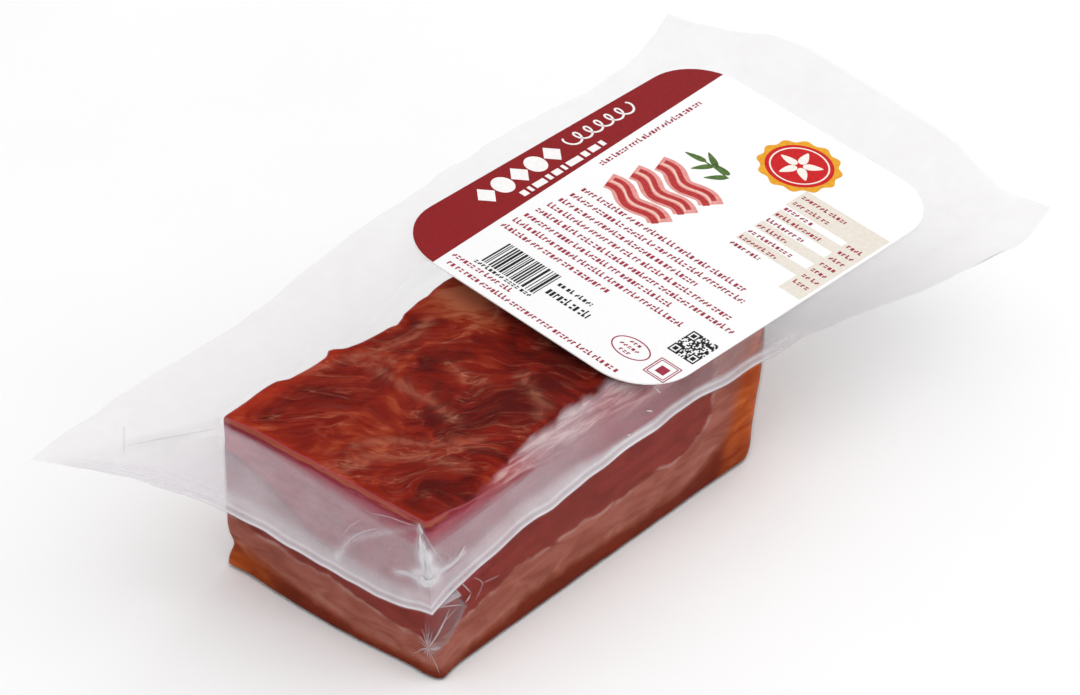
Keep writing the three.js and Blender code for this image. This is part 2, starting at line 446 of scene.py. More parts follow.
def meat_grain(tree, place):
    """Fibres lie askew across the top and wander, so the place is pushed by slow noise, then turned.
    Gives the pushed place, the turned place and the fibres."""
    push = add_node(tree, "TexNoise", {"Scale": 1 / 26, "Detail": 2.0}, {"Vector": place})
    centred = add_node(tree, "VectorMath", {"operation": "SUBTRACT", 1: (0.5, 0.5, 0.5)},
                       {0: push.outputs["Color"]})
    pushed = add_node(tree, "VectorMath", {"operation": "MULTIPLY_ADD", 1: (26, 26, 6)},
                      {0: centred, 2: place})
    turned = add_node(tree, "Mapping", {"Rotation": (0, 0, math.radians(50))}, {"Vector": pushed})
    stretched = add_node(tree, "Mapping", {"Scale": (0.13, 0.42, 0.4)}, {"Vector": turned})
    fibres = add_node(tree, "TexNoise", {"Scale": 1.0, "Detail": 7.0, "Roughness": 0.55, "Distortion": 1.1},
                      {"Vector": stretched})
    return pushed, turned, fibres


def lean_colour(tree, tone, pushed, fibres):
    """Deep red lean, darker and paler along the fibres, in clouds and in the marked patches."""
    clouds = add_node(tree, "TexNoise", {"Scale": 1 / 8, "Detail": 6.0, "Roughness": 0.58, "Distortion": 0.9},
                      {"Vector": pushed})
    level = add_node(tree, "Mix", {"data_type": "FLOAT", FACTOR: 0.62},
                     {FIRST_VALUE: fibres, SECOND_VALUE: clouds})
    toned = add_node(tree, "Math", {"operation": "MULTIPLY_ADD", 1: 0.11}, {0: tone, 2: level})
    return add_node(tree, "ValToRGB", {"stops": [
        (0.37, "#520b04"), (0.46, "#6e1306"), (0.53, "#7e1a0a"), (0.59, "#8c2a13"), (0.65, "#9c4127"),
        (0.74, "#ae5e3f"),
    ]}, {"Fac": toned})


def with_veins(tree, lean, seam, pushed, turned, fibres):
    """Veins of connective tissue and finer hairs, in patches and beside the fat seams."""
    vein_place = add_node(tree, "Mapping", {"Scale": (0.05, 0.2, 0.2), "Location": (31, 7, 0)},
                          {"Vector": turned})
    vein_noise = add_node(tree, "TexNoise",
                          {"Scale": 1.0, "Detail": 5.0, "Roughness": 0.55, "Distortion": 0.6},
                          {"Vector": vein_place})
    veins = crossing_line(tree, vein_noise, 0.5, 0.016, 1.0)
    hairs = crossing_line(tree, fibres, 0.53, 0.01, 0.45)
    line = add_node(tree, "Math", {"operation": "MAXIMUM"}, {0: veins, 1: hairs})
    zone = add_node(tree, "TexNoise", {"Scale": 1 / 7, "Detail": 3.0}, {"Vector": pushed})
    patches = add_node(tree, "MapRange", {"From Min": 0.42, "From Max": 0.68, "To Max": 0.5}, {"Value": zone})
    beside = add_node(tree, "MapRange", {"From Min": 2.8, "From Max": 0.4, "To Max": 0.55}, {"Value": seam})
    gate = add_node(tree, "Math", {"operation": "MAXIMUM"}, {0: patches, 1: beside})
    share = add_node(tree, "Math", {"operation": "MULTIPLY"}, {0: line, 1: gate})
    return add_node(tree, "Mix", {"data_type": "RGBA", SECOND: linear("#c07c60")},
                    {FACTOR: share, FIRST: lean})


def with_seams(tree, veined, seam, turned):
    """Fat seams: a soft tan fringe that noise pushes about."""
    seam_noise = add_node(tree, "TexNoise", {"Scale": 0.45, "Detail": 6.0, "Roughness": 0.6},
                          {"Vector": turned})
    reach = add_node(tree, "Math", {"operation": "MULTIPLY_ADD", 1: 0.32},
                     {0: seam, 2: swing(tree, seam_noise, 1.0)})
    share = add_node(tree, "ValToRGB", {"stops": [(0.0, 0.3), (0.1, 0.22), (0.36, 0.09), (0.8, 0.0)]},
                     {"Fac": reach})
    return add_node(tree, "Mix", {"data_type": "RGBA", SECOND: linear("#b8745a")},
                    {FACTOR: share, FIRST: veined})


def side_colour(tree, place, depth, quick, streaks):
    """Rind, fat and lean by depth from the rind, with wavy borders and streaks along the layers. A thin
    pale line of fat parts the lean from the fat, and pale flecks lie in the fat below it."""
    slow = add_node(tree, "TexNoise", {"Scale": 1 / 11, "Detail": 2.0}, {"Vector": place})
    wavy = add_node(tree, "Math", {"operation": "ADD"}, {0: depth, 1: swing(tree, slow, 1.8)})
    wavy = add_node(tree, "Math", {"operation": "ADD"}, {0: wavy, 1: swing(tree, quick, 1.0)})
    share = add_node(tree, "Math", {"operation": "DIVIDE", 1: DEPTH_SPAN}, {0: wavy})
    layers = add_node(tree, "ValToRGB", {"stops": in_span(DEPTH_SPAN, [
        (0.0, "#6a2010"), (3.6, "#742a16"), (5.6, "#9c5846"), (7.2, "#9a5244"), (11.8, "#a05a4c"),
        (12.8, "#883a32"), (19.0, "#883630"), (22.0, "#9a424a"), (28.0, "#a2505c"), (40.0, "#a2505c"),
    ])}, {"Fac": share})
    streak_tone = add_node(tree, "ValToRGB", {"stops": [(0.34, 0.8), (0.5, 0.98), (0.66, 1.16)]},
                           {"Fac": streaks})
    streaked = add_node(tree, "Mix", {"data_type": "RGBA", "blend_type": "MULTIPLY", FACTOR: 1.0},
                        {FIRST: layers, SECOND: streak_tone})
    flecks = add_node(tree, "ValToRGB", {"stops": in_span(DEPTH_SPAN, [
        (5.0, 0.0), (5.8, 0.32), (8.5, 0.2), (11.6, 0.1), (12.1, 0.9), (12.4, 0.9), (13.0, 0.0),
    ])}, {"Fac": share})
    gate = add_node(tree, "MapRange", {"From Min": 0.42, "From Max": 0.62, "To Max": 0.8},
                    {"Value": streaks})
    factor = add_node(tree, "Math", {"operation": "MULTIPLY"}, {0: flecks, 1: gate})
    return add_node(tree, "Mix", {"data_type": "RGBA", SECOND: linear("#b48e84")},
                    {FACTOR: factor, FIRST: streaked})


def with_crown_and_edge_highlight(tree, sides, place, drop):
    """Under the cut top edge lie a thin tan line, which is a painted highlight on the rounded edge, then a
    crimson streak that fades downward into pink.
    """
    crown_place = add_node(tree, "Mapping", {"Scale": (0.11, 0.11, 0.8)}, {"Vector": place})
    crown_noise = add_node(tree, "TexNoise", {"Scale": 1.0, "Detail": 7.0, "Roughness": 0.65},
                           {"Vector": crown_place})
    wavy = add_node(tree, "Math", {"operation": "ADD"}, {0: drop, 1: swing(tree, crown_noise, 2.2)})
    share = add_node(tree, "Math", {"operation": "DIVIDE", 1: DROP_SPAN}, {0: wavy})
    # The first two stops, the thin tan line, are a painted highlight along the rounded top edge.
    crown_and_edge_highlight = add_node(tree, "ValToRGB", {"stops": [
        (0.0, "#a04a36"), (0.07, "#a45848"), (0.12, "#8a2c34"), (0.21, "#8e3340"), (0.34, "#a8606a"),
    ]}, {"Fac": share})
    fade = add_node(tree, "ValToRGB", {"stops": [(0.2, 1.0), (0.5, 0.0)]}, {"Fac": share})
    return add_node(tree, "Mix", {"data_type": "RGBA"}, {FACTOR: fade, FIRST: sides, SECOND: crown_and_edge_highlight})


def strip_colour(tree, place):
    """Pale fat along the front of the top, streaked lengthwise."""
    strip_place = add_node(tree, "Mapping", {"Scale": (0.1, 0.7, 0.7)}, {"Vector": place})
    strip_noise = add_node(tree, "TexNoise",
                           {"Scale": 1.0, "Detail": 6.0, "Roughness": 0.6, "Distortion": 0.5},
                           {"Vector": strip_place})
    return add_node(tree, "ValToRGB", {"stops": [(0.36, "#8e3a40"), (0.47, "#ac666a"), (0.6, "#d0aaa6")]},
                    {"Fac": strip_noise})


def bacon_material():
    """Smoked bacon pressed under film. Deep red lean with fibres and pale fat seams on the cut top,
    layers of rind, fat and lean on the sides, and tiny wrinkles where the film clings to it."""
    material, tree, place = new_material("smoked_bacon_under_film")
    marks = {name: add_node(tree, "Attribute", {"attribute_name": name}) for name in MEAT_MARKS}
    pushed, turned, fibres = meat_grain(tree, place)
    quick = add_node(tree, "TexNoise", {"Scale": 1 / 3.2, "Detail": 4.0}, {"Vector": place})
    streak_place = add_node(tree, "Mapping", {"Scale": (0.1, 0.1, 0.34)}, {"Vector": place})
    streaks = add_node(tree, "TexNoise", {"Scale": 1.0, "Detail": 6.0, "Roughness": 0.62, "Distortion": 0.8},
                       {"Vector": streak_place})

    top = lean_colour(tree, marks["tone"], pushed, fibres)
    top = with_veins(tree, top, marks["seam"], pushed, turned, fibres)
    top = with_seams(tree, top, marks["seam"], turned)
    top = add_node(tree, "Mix", {"data_type": "RGBA", SECOND: linear("#b23016")},
                   {FACTOR: marks["rim"], FIRST: top})

    sides = side_colour(tree, place, marks["depth"], quick, streaks)
    sides = with_crown_and_edge_highlight(tree, sides, place, marks["drop"])
    smoke = add_node(tree, "ValToRGB", {"stops": [(0.36, "#9a3c14"), (0.5, "#b2501c"), (0.64, "#c4642c")]},
                     {"Fac": streaks})
    sides = add_node(tree, "Mix", {"data_type": "RGBA"},
                     {FACTOR: marks["ember"], FIRST: sides, SECOND: smoke})
    sides = add_node(tree, "Mix", {"data_type": "RGBA"},
                     {FACTOR: marks["strip"], FIRST: sides, SECOND: strip_colour(tree, place)})
    colour = add_node(tree, "Mix", {"data_type": "RGBA"}, {FACTOR: marks["lid"], FIRST: sides, SECOND: top})

    wrinkles = add_node(tree, "Math", {"operation": "MULTIPLY_ADD", 1: 0.8}, {0: fibres, 2: quick})
    bump = add_node(tree, "Bump", {"Strength": 0.5, "Distance": 0.0004}, {"Height": wrinkles})
    roughness = add_node(tree, "MapRange", {"To Min": 0.28, "To Max": 0.5}, {"Value": quick})
    add_surface(tree, {"Coat Weight": 0.02, "Coat Roughness": 0.1, "Specular IOR Level": 0.03, "IOR": 1.42},
                {"Base Color": colour, "Normal": bump, "Roughness": roughness})
    return material


def film_material():
    """Laminated polyamide and polyethylene film. Clear where it clings, and milky where it hangs free, is
    stretched or is creased, which an attribute gives as a share of cover; that share also carries painted
    highlights along the sealed edges, on the pleat at the near left corner and as small glints."""
    material, tree, place = new_material("laminated_vacuum_film")
    milk = add_node(tree, "Attribute", {"attribute_name": "milk"})
    cloud = add_node(tree, "TexNoise", {"Scale": 1 / 9, "Detail": 5.0, "Roughness": 0.55}, {"Vector": place})
    clouded = add_node(tree, "MapRange", {"From Min": 0.3, "From Max": 0.7, "To Min": 0.8, "To Max": 1.2},
                       {"Value": cloud})
    cover = add_node(tree, "Math", {"operation": "MULTIPLY", "use_clamp": True}, {0: milk, 1: clouded})
    colour = add_node(tree, "ValToRGB", {"stops": [(0.0, "#e4dde3"), (1.0, "#ebe9ec")]}, {"Fac": milk})
    crinkle = add_node(tree, "TexNoise", {"Scale": 0.8, "Detail": 2.5, "Roughness": 0.5, "Distortion": 0.8},
                       {"Vector": place})
    bump = add_node(tree, "Bump", {"Strength": 0.35, "Distance": 0.0003}, {"Height": crinkle})
    add_surface(tree, {"Roughness": 0.22, "IOR": 1.5}, {"Base Color": colour, "Alpha": cover, "Normal": bump})
    return material


def paper_material():
    """Coated white label paper, smooth, with a faint fibre grain and a soft sheen."""
    material, tree, place = new_material("coated_label_paper")
    grain = add_node(tree, "TexNoise", {"Scale": 2.2, "Detail": 6.0}, {"Vector": place})
    colour = add_node(tree, "ValToRGB", {"stops": [(0.3, "#fafafa"), (0.7, "#fefefe")]}, {"Fac": grain})
    bump = add_node(tree, "Bump", {"Strength": 0.12, "Distance": 0.00005}, {"Height": grain})
    add_surface(tree, {"Roughness": 0.42}, {"Base Color": colour, "Normal": bump})
    return material


def ink_material(name, colour, dark):
    """Offset printing ink on coated paper: flat colour with the slight mottle of the paper under it."""
    material, tree, place = new_material(name)
    mottle = add_node(tree, "TexNoise", {"Scale": 1.1, "Detail": 5.0}, {"Vector": place})
    tone = add_node(tree, "ValToRGB", {"stops": [(0.35, dark), (0.65, colour)]}, {"Fac": mottle})
    add_surface(tree, {"Specular IOR Level": 0.15, "Roughness": 0.38}, {"Base Color": tone})
    return material


def floor_material():
    """Pale painted studio floor, dull, with a barely visible mottle."""
    material, tree, place = new_material("painted_studio_floor")
    mottle = add_node(tree, "TexNoise", {"Scale": 1 / 90, "Detail": 3.0}, {"Vector": place})
    tone = add_node(tree, "ValToRGB", {"stops": [(0.3, "#fbfbfb"), (0.7, "#fefefe")]}, {"Fac": mottle})
    add_surface(tree, {"Roughness": 0.8}, {"Base Color": tone})
    return material


# The block of bacon

BLOCK_CUTS = 89  # cuts across each face of the cube that the block starts from
ON_FACE = 1 - 1e-6  # a coordinate of the cube beyond this lies on its face
SEAM_SIGHT = 6.0  # a fat seam farther away than this makes no difference to the material
FRONT_SLUMP = 1.5  # how far the meat's top sags along its front edge, where the film bridges
BACK_NOTCH, BACK_NOTCH_X = 1.2, -6.5  # how far, and where, the top's back edge stands in
MEAT_CLIMB = 0.27  # share of the film's climb to the label that the meat follows


def slow_relief(x, y):
    """Low swells of the top, 0 at most, that meat and film share."""
    return -0.18 + 0.18 * waves(x, y, 0, 13, 3.1)


def front_strip(x, y):
    """1 on the strip of the top along the front, where fat shows and the film bridges; 0 elsewhere."""
    border = lerp(-24.5, -21.4, smoothstep(x, -34, -12))
    border += 1.4 * waves(x, y, 0, 9, 6.6) + 1.0 * waves(x, y, 0, 2.4, 8.8)
    return smoothstep(border - y, 0, 1.4) * smoothstep(x, -38, -24)


def meat_level(x, y):
    """Height of the meat's top apart from its relief."""
    climb = label_plane(y) - FILM_CLEARANCE - BLOCK_HEIGHT
    return BLOCK_HEIGHT + MEAT_CLIMB * climb * smoothstep(x, -6, 14)


def meat_top(x, y):
    slump = FRONT_SLUMP * smoothstep(-y, 20, 27) * smoothstep(x, -46, -36)
    fine = 0.13 * waves(x, y, 0, 3.2, 5.3) + 0.07 * waves(x, y, 0, 1.3, 9.1)
    groove = 0.16 * bell(min(distance_to_run(x, y, run) for run in TOP_SEAMS), 1.0)
    return meat_level(x, y) - MEAT_INSET - slump + slow_relief(x, y) + fine - groove


RIND_TURN = 20.0  # radius at which the layers turn up the right end


def depth_from_rind(x, y, z):
    """Distance from the rind, which covers the underside and the right end and turns between them."""
    near_left = smoothstep(-x, 20, 50)
    up = z * lerp(1.0, 1.2, near_left) - 0.09 * y * near_left
    up -= 5 * smoothstep(x, -25, 10) * smoothstep(z, 14, 26)
    along = (BLOCK_RIGHT - x) * 0.7
    if up < RIND_TURN and along < RIND_TURN:
        return RIND_TURN - math.hypot(RIND_TURN - up, RIND_TURN - along)
    return min(up, along)


def ragged(x, out, z):
    """How far the torn back edge of the top stands in."""
    tear = 1.5 * max(0, waves(x, 0, 0, 5, 2.9)) + 0.75 * max(0, waves(x, 0, 0, 1.9, 6.1))
    tear = tear * smoothstep(x, CRUMB_X + 1, CRUMB_X + 7) + BACK_NOTCH * bell(x - BACK_NOTCH_X, 8)
    return tear * max(0, out.y) * smoothstep(z, 31, 35.5)


def block_point(u, v, w):
    """A point of the cube from -1 to 1 as a point of the rounded block."""
    ring = max(abs(u), abs(v))
    edge_u, edge_v = (u / ring, v / ring) if ring > 1e-6 else (1.0, 0.0)
    foot, out = nearest_on_block(MIDDLE_X + HALF_LENGTH * edge_u, HALF_WIDTH * edge_v)
    height = 0.5 + 0.5 * (0.62 * w + 0.38 * math.sin(w * math.pi / 2))
    if abs(w) < ON_FACE or ring > ON_FACE:
        top = meat_top(foot.x - out.x * MEAT_EDGE, foot.y - out.y * MEAT_EDGE)
        z = lerp(MEAT_INSET, top, height)
        low = bottom_round_of(out)
        inset = MEAT_INSET
        if z > top - MEAT_EDGE:
            inset += MEAT_EDGE - math.sqrt(max(0, MEAT_EDGE**2 - (z - top + MEAT_EDGE) ** 2))
        if z < low:
            inset += low - math.sqrt(max(0, low**2 - (low - z + MEAT_INSET) ** 2))
        point = on_block(foot, out, inset + ragged(foot.x, out, z), z)
        swell = 0.12 * waves(point.x, point.y, z, 6, 2.2) + 0.06 * waves(point.x, point.y, z, 2, 4.4)
        point.x += (swell - 0.1) * out.x
        point.y += (swell - 0.1) * out.y
        return point
    round_off = MEAT_EDGE if w > 0 else bottom_round_of(out)
    if w > 0:
        round_off += ragged(foot.x, out, BLOCK_HEIGHT)
    rim = on_block(foot, out, round_off + MEAT_INSET, 0 if w < 0 else BLOCK_HEIGHT)
    x, y = lerp(MIDDLE_X, rim.x, ring), lerp(0, rim.y, ring)
    z = meat_top(x, y) if w > 0 else MEAT_INSET + 0.1 * waves(x, y, 0, 5)
    return Vector((x, y, z))


def ember_share(x, y, z):
    """How much smoke stains a point: the rind of the right end, and the foot of the far left corner."""
    right_rind = smoothstep(x + 0.25 * (20 - z), 40.5, 45) * lerp(0.45, 1, smoothstep(z, 0, 10))
    left_glow = smoothstep(-x, 46, 51) * smoothstep(y, 8, 24) * smoothstep(-z, -9, -2)
    return clamp(right_rind + 0.95 * left_glow)


def meat_marks(x, y, z, w):
    """What the material reads at a point of the meat, in the order of MEAT_MARKS."""
    strip = front_strip(x, y)
    lid = 1.0 - strip if w > ON_FACE else 0.0
    seam = min(SEAM_SIGHT, min(distance_to_run(x, y, run) for run in TOP_SEAMS))
    edge = min(x - BLOCK_LEFT, y + HALF_WIDTH + 3, HALF_WIDTH - y)
    rim = 0.5 * bell(edge, 2.2)
    tone = sum(gain * bell(math.hypot(x - a, y - b), width) for a, b, width, gain in TOP_SPOTS)
    bridged = DROP_SPAN * smoothstep(x, -32, -14) if y < -24 else 0.0
    drop = max(bridged, meat_level(x, y) - 0.6 - z) if w < ON_FACE else DROP_SPAN
    return (lid, depth_from_rind(x, y, z), seam, ember_share(x, y, z), rim, tone, drop,
            strip * smoothstep(z, 30, 35))


def make_bacon(material):
    bpy.ops.object.select_all(action="DESELECT")
    bpy.ops.mesh.primitive_cube_add(size=2)
    block = bpy.context.object
    block.name = block.data.name = "bacon_block"
    bpy.ops.object.mode_set(mode="EDIT")
    bpy.ops.mesh.subdivide(number_cuts=BLOCK_CUTS)
    end_edit()
    marks = []
    for vertex in block.data.vertices:
        u, v, w = vertex.co
        point = block_point(u, v, w)
        vertex.co = point * MM
        marks.append(meat_marks(*point, w))
    for name, values in zip(MEAT_MARKS, zip(*marks)):
        write_attribute(block, name, values)
    edit_all(block)
    bpy.ops.mesh.normals_make_consistent(inside=False)
    end_edit()
    smooth(block, 60)
    finish_piece(block, material, "bacon", "pack")


# The films

def crowded(steps, crowd):
    """Fractions from 0 to 1, crowded toward 0 where crowd is positive and toward 1 where negative."""
    strength = abs(crowd)
    run = [(1 - strength) * k / steps + strength * (k / steps) ** 2 for k in range(steps + 1)]
    return run if crowd >= 0 else [1 - t for t in reversed(run)]


class Station:
    """One place along the film's edge, with the block's side behind it."""

    def __init__(self, edge):
        wobble = 0.5 * waves(*edge, 13, 1.7) + 0.8 * waves(*edge, 7, 3.3)
        self.edge = Vector((edge.x, edge.y, edge.z + wobble))
        self.foot, self.out = nearest_on_block(edge.x, edge.y)
        self.start = on_block(self.foot, self.out, 0, BLOCK_HEIGHT).to_2d()
        away = Vector((edge.x, edge.y)) - self.start
        self.reach = away.length
        self.away = away / self.reach
        self.flat = smoothstep(edge.z, SHEET_LOW, SHEET_HIGH)
        self.top = top_height(self.foot.x, self.foot.y) - FILM_SINK
        near_label = smoothstep(self.foot.x, LABEL_LEFT - LABEL_RAMP, LABEL_LEFT)
        self.under_label = near_label * (1 - self.flat) if self.foot.y < 0 else 0.0
        self.seal_out = self.reach - min(SEAL_WIDTH, 0.4 * self.reach)
        self.seal_z = edge.z + lerp(SEAL_LIFT, 0, self.flat)
        self.root = lerp(edge.z - SKIRT_ROOT_DROP, self.top - SHEET_ROOT_DROP, self.flat)
        near = bell((self.foot - Vector((BLOCK_LEFT, -HALF_WIDTH))).length, 30)
        self.cling = lerp(CLING_FAR, CLING_NEAR, near) * (1 - self.flat)

    def at(self, out, z):
        """The point at a distance out from the block toward the edge, and at a height."""
        return Vector((self.start.x + self.away.x * out, self.start.y + self.away.y * out, z))


def edge_stations():
    stations = []
    for marks, steps, crowd in EDGE_RUNS:
        points = smooth_run(marks, crowded(steps, crowd))
        stations += [Station(point) for point in points[:-1]]
    return stations


def free_curve(s, t):
    """The top film between where it leaves the block and the seal: out from the side, and height."""
    start_z = s.top - (TOP_ROUND + s.cling) * (1 - s.flat)
    span = s.seal_out
    # The middle mark of the curve: a skirt hugs the side, one under the label stands off before it
    # falls, and a flat sheet runs straight
    hug_out, hug_z = 0.30 * span, lerp(start_z, s.seal_z, 0.62)
    shoulder_out, shoulder_z = 0.95 * span, start_z - 1.0
    sheet_out, sheet_z = 0.5 * span, lerp(start_z, s.seal_z, 0.5)
    middle_out = lerp(lerp(hug_out, shoulder_out, s.under_label), sheet_out, s.flat)
    middle_z = lerp(lerp(hug_z, shoulder_z, s.under_label), sheet_z, s.flat)
    out = 2 * t * (1 - t) * middle_out + t * t * span
    z = (1 - t) ** 2 * start_z + 2 * t * (1 - t) * middle_z + t * t * s.seal_z
    return out, z


# Rows of the top film from its middle outward, by the part of it that they shape
TOP_INNER, TOP_ROUNDING, TOP_CLING, TOP_FREE, TOP_SEAL = 30, 4, 5, 34, 9
TOP_HUGGING = TOP_INNER + TOP_ROUNDING + TOP_CLING
TOP_ROWS = TOP_HUGGING + TOP_FREE + TOP_SEAL

# Milk of both faces of a film together: cover from 0 to 1
CLEAR, CLING_MILK, SKIRT_MILK, BAND_MILK, SHEET_MILK = 0.005, 0.2, 0.36, 0.66, 0.16
FRONT_STRIP_MILK, LOW_SKIRT_MILK, WEB_MILK, STAR_MILK = 0.4, 0.3, 0.14, 0.3


def flange_milk_and_highlight(s, edge_gap, base):
    """Cover near the sealed edge: a white band of milky film, then at the very edge a white, a grey and a
    white line, which are painted highlights with a painted shade line between them.
    """
    skirt = 1 - s.flat
    width = lerp(5.5, 2.6, s.under_label)
    band = lerp(base, BAND_MILK, skirt * smoothstep(-edge_gap, -width, -0.45 * width))
    # The white lines are painted highlights along the cut edge and the seal; the grey line between them is
    # painted shade.
    lines = 0.9 * bell(edge_gap - 0.2, 0.35) + 0.6 * bell(edge_gap - 1.55, 0.3)
    lines -= 0.25 * bell(edge_gap - 0.9, 0.35)
    return clamp(band + skirt * lines * 0.35)


def top_film_point(s, row):
    """Place and cover of the top film at a station and a row, from the middle outward."""
    rim = on_block(s.foot, s.out, TOP_ROUND, BLOCK_HEIGHT)
    if row <= TOP_INNER:
        t = row / TOP_INNER
        x, y = lerp(TOP_MIDDLE[0], rim.x, t), lerp(TOP_MIDDLE[1], rim.y, t)
        return Vector((x, y, top_height(x, y) - FILM_SINK + slow_relief(x, y))), CLEAR
    row -= TOP_INNER
    if row <= TOP_ROUNDING:
        turn = row / TOP_ROUNDING * math.pi / 2
        out = -TOP_ROUND * (1 - math.sin(turn))
        z = s.top - TOP_ROUND * (1 - math.cos(turn)) * (1 - s.flat)
        z += slow_relief(rim.x, rim.y) * math.cos(turn)
        return Vector((s.start.x + s.out.x * out, s.start.y + s.out.y * out, z)), CLEAR
    row -= TOP_ROUNDING
    if row <= TOP_CLING:
        t = row / TOP_CLING
        z = s.top - (TOP_ROUND + s.cling * t) * (1 - s.flat)
        return s.at(0.02 * row, z), lerp(CLEAR, CLING_MILK, smoothstep(t, 0.35, 1) * (1 - s.flat))
    row -= TOP_CLING
    if row <= TOP_FREE:
        t = row / TOP_FREE
        out, z = free_curve(s, t)
        out = max(out, 0.02 * TOP_CLING)
        base = lerp(SKIRT_MILK * (1 - 0.45 * s.under_label), SHEET_MILK, s.flat)
        start = smoothstep(t, 0.0, lerp(0.07, 0.02, s.flat))
        start_milk = lerp(CLING_MILK, CLEAR, s.flat)
        milk = lerp(start_milk, flange_milk_and_highlight(s, math.hypot(s.reach - out, z - s.edge.z), base), start)
        return s.at(out, z), milk
    row -= TOP_FREE
    t = row / TOP_SEAL
    out = lerp(s.seal_out, s.reach, t)
    z = lerp(s.seal_z, s.edge.z + SEAL_HALF, t)
    edge_gap = math.hypot(s.reach - out, z - s.edge.z)
    milk = flange_milk_and_highlight(s, edge_gap, lerp(SKIRT_MILK, SHEET_MILK, s.flat))
    return s.at(out, z), milk


# Two ways to look at the films, each with its right, its up and the way it looks
SEEN_FROM = {
    "corner": (Vector((0.67, -0.742, 0)), Vector((0, 0, 1)), Vector((0.742, 0.67, 0))),
    "above": (Vector((1, 0, 0)), Vector((0, 1, 0)), Vector((0, 0, -1))),
}

# Soft creases of the top film: view, marks in that view, width, added cover, height
CREASES = [
    # The first four creases are the pleat at the near left corner: their added cover is white stretched film
    # and partly a painted highlight.
    ("corner", [(-14.5, 34.4), (-14.1, 31.0)], 0.6, 0.45, 0.3),
    ("corner", [(-14.1, 31.0), (-13.4, 28.0)], 1.1, 0.5, 0.4),
    ("corner", [(-13.5, 28.0), (-12.8, 25.0)], 1.7, 0.55, 0.4),
    ("corner", [(-14.4, 23.8), (-12.2, 24.3)], 1.6, 0.75, 0.3),
    ("corner", [(-19.3, 22.4), (-16.2, 23.6), (-14.2, 24.1)], 0.7, 0.3, 0.2),
    ("corner", [(-12.6, 24.9), (-10.0, 24.8), (-6.4, 25.4)], 0.6, 0.3, 0.2),
    ("corner", [(-14.8, 34.4), (-18.4, 31.4), (-23.9, 27.2), (-28.4, 24.0), (-31.0, 20.0)],
     0.6, 0.22, 0.25),
    ("above", [(-50.3, 26.3), (-59.5, 31.2), (-68.7, 36.0)], 0.6, 0.1, 0.2),
    ("above", [(104.9, -29.1), (105.2, -36.8)], 0.8, 0.12, 0.2),
]

# Marks that folds share, in the corner view: the middle of the starburst, and the pinched flap
STAR = (-13.3, 6.9)
WEB_TIP, WEB_TOP, WEB_ROOT = (-4.95, 13.8), (-8.1, 19.6), (-11.6, 16.5)

# Pinched folds, and three painted glints, that stand up as thin white ridges: film, view, marks, width, share
# of cover
FOLDS = [
    ("top_film", "corner", [(-14.8, 34.6), (-15.1, 30.2), (-15.2, 27.1), (-15.0, 24.4)], 0.3, 0.3),
    ("top_film", "corner", [(-14.3, 34.8), (-13.0, 32.1), (-11.5, 28.3), (-10.1, 25.6)], 0.4, 0.32),
    # These three pleat ridges have near-full cover: white stretched film, and partly a painted highlight.
    ("top_film", "corner", [(-14.4, 33.6), (-13.9, 28.7), (-13.6, 24.8)], 0.95, 0.92),
    ("top_film", "corner", [(-14.0, 31.9), (-13.2, 28.2), (-12.3, 25.2)], 0.8, 0.9),
    ("top_film", "corner", [(-14.4, 24.6), (-13.4, 23.6), (-12.3, 24.5)], 1.7, 0.92),
    ("top_film", "corner", [(-14.7, 35.3), (-14.2, 34.4), (-14.1, 33.2)], 0.6, 0.6),
    ("top_film", "corner",
     [(-19.6, 22.3), (-17.9, 23.2), (-16.2, 23.6), (-14.0, 24.2), (-12.6, 24.5)], 0.9, 0.6),
    ("top_film", "corner",
     [(-12.9, 24.3), (-11.2, 24.9), (-9.4, 24.8), (-7.5, 25.2), (-6.0, 26.6)], 0.8, 0.65),
    ("top_film", "corner", [(-9.9, 24.3), (-8.4, 24.5), (-6.9, 25.2)], 0.3, 0.5),
    ("top_film", "corner", [(-10.0, 27.6), (-9.0, 26.2), (-9.4, 25.0)], 0.3, 0.3),
    ("top_film", "corner", [(-14.9, 34.8), (-17.0, 33.9), (-20.0, 33.3), (-24.5, 31.5)], 0.3, 0.35),
    ("top_film", "corner", [(-22.4, 29.4), (-24.8, 27.6), (-27.6, 25.0), (-30.2, 21.4)], 0.45, 0.42),
    ("top_film", "corner", [(-25.6, 29.6), (-28.4, 26.4), (-30.6, 23.0)], 0.3, 0.3),
    # The next three short ridges are painted glints on the skirt near the label's front left corner.
    ("top_film", "corner", [(30.8, 34.6), (32.4, 33.2)], 0.4, 0.85),
    ("top_film", "corner", [(29.4, 31.9), (30.8, 30.9)], 0.4, 0.8),
    ("top_film", "corner", [(25.6, 29.3), (26.1, 29.0)], 0.4, 0.8),
    ("top_film", "above", [(-51.5, 26.9), (-59.5, 31.2), (-68.7, 36.0)], 0.35, 0.25),
    ("top_film", "above", [(-65.4, 39.4), (-67.5, 37.2), (-68.7, 36.0), (-69.3, 35.5)], 0.5, 0.35),
    ("bottom_film", "corner", [WEB_TOP, WEB_TIP], 0.3, 0.5),
    ("bottom_film", "corner", [WEB_ROOT, (-8.4, 15.6), WEB_TIP], 0.3, 0.45),
    ("bottom_film", "corner", [WEB_TIP, (-9.0, 9.9), (-11.3, 8.0), STAR], 0.4, 0.6),
    ("bottom_film", "corner", [(-8.9, 15.4), (-10.8, 11.6), STAR], 0.32, 0.55),
    ("bottom_film", "corner", [(-7.6, 14.6), (-10.4, 12.6), (-11.6, 10.4)], 0.25, 0.4),
    ("bottom_film", "corner", [(-4.9, 17.2), (-2.9, 14.4), (-4.2, 11.6)], 0.3, 0.25),
    ("bottom_film", "corner", [(-2.9, 14.4), (0.6, 13.6)], 0.3, 0.2),
]
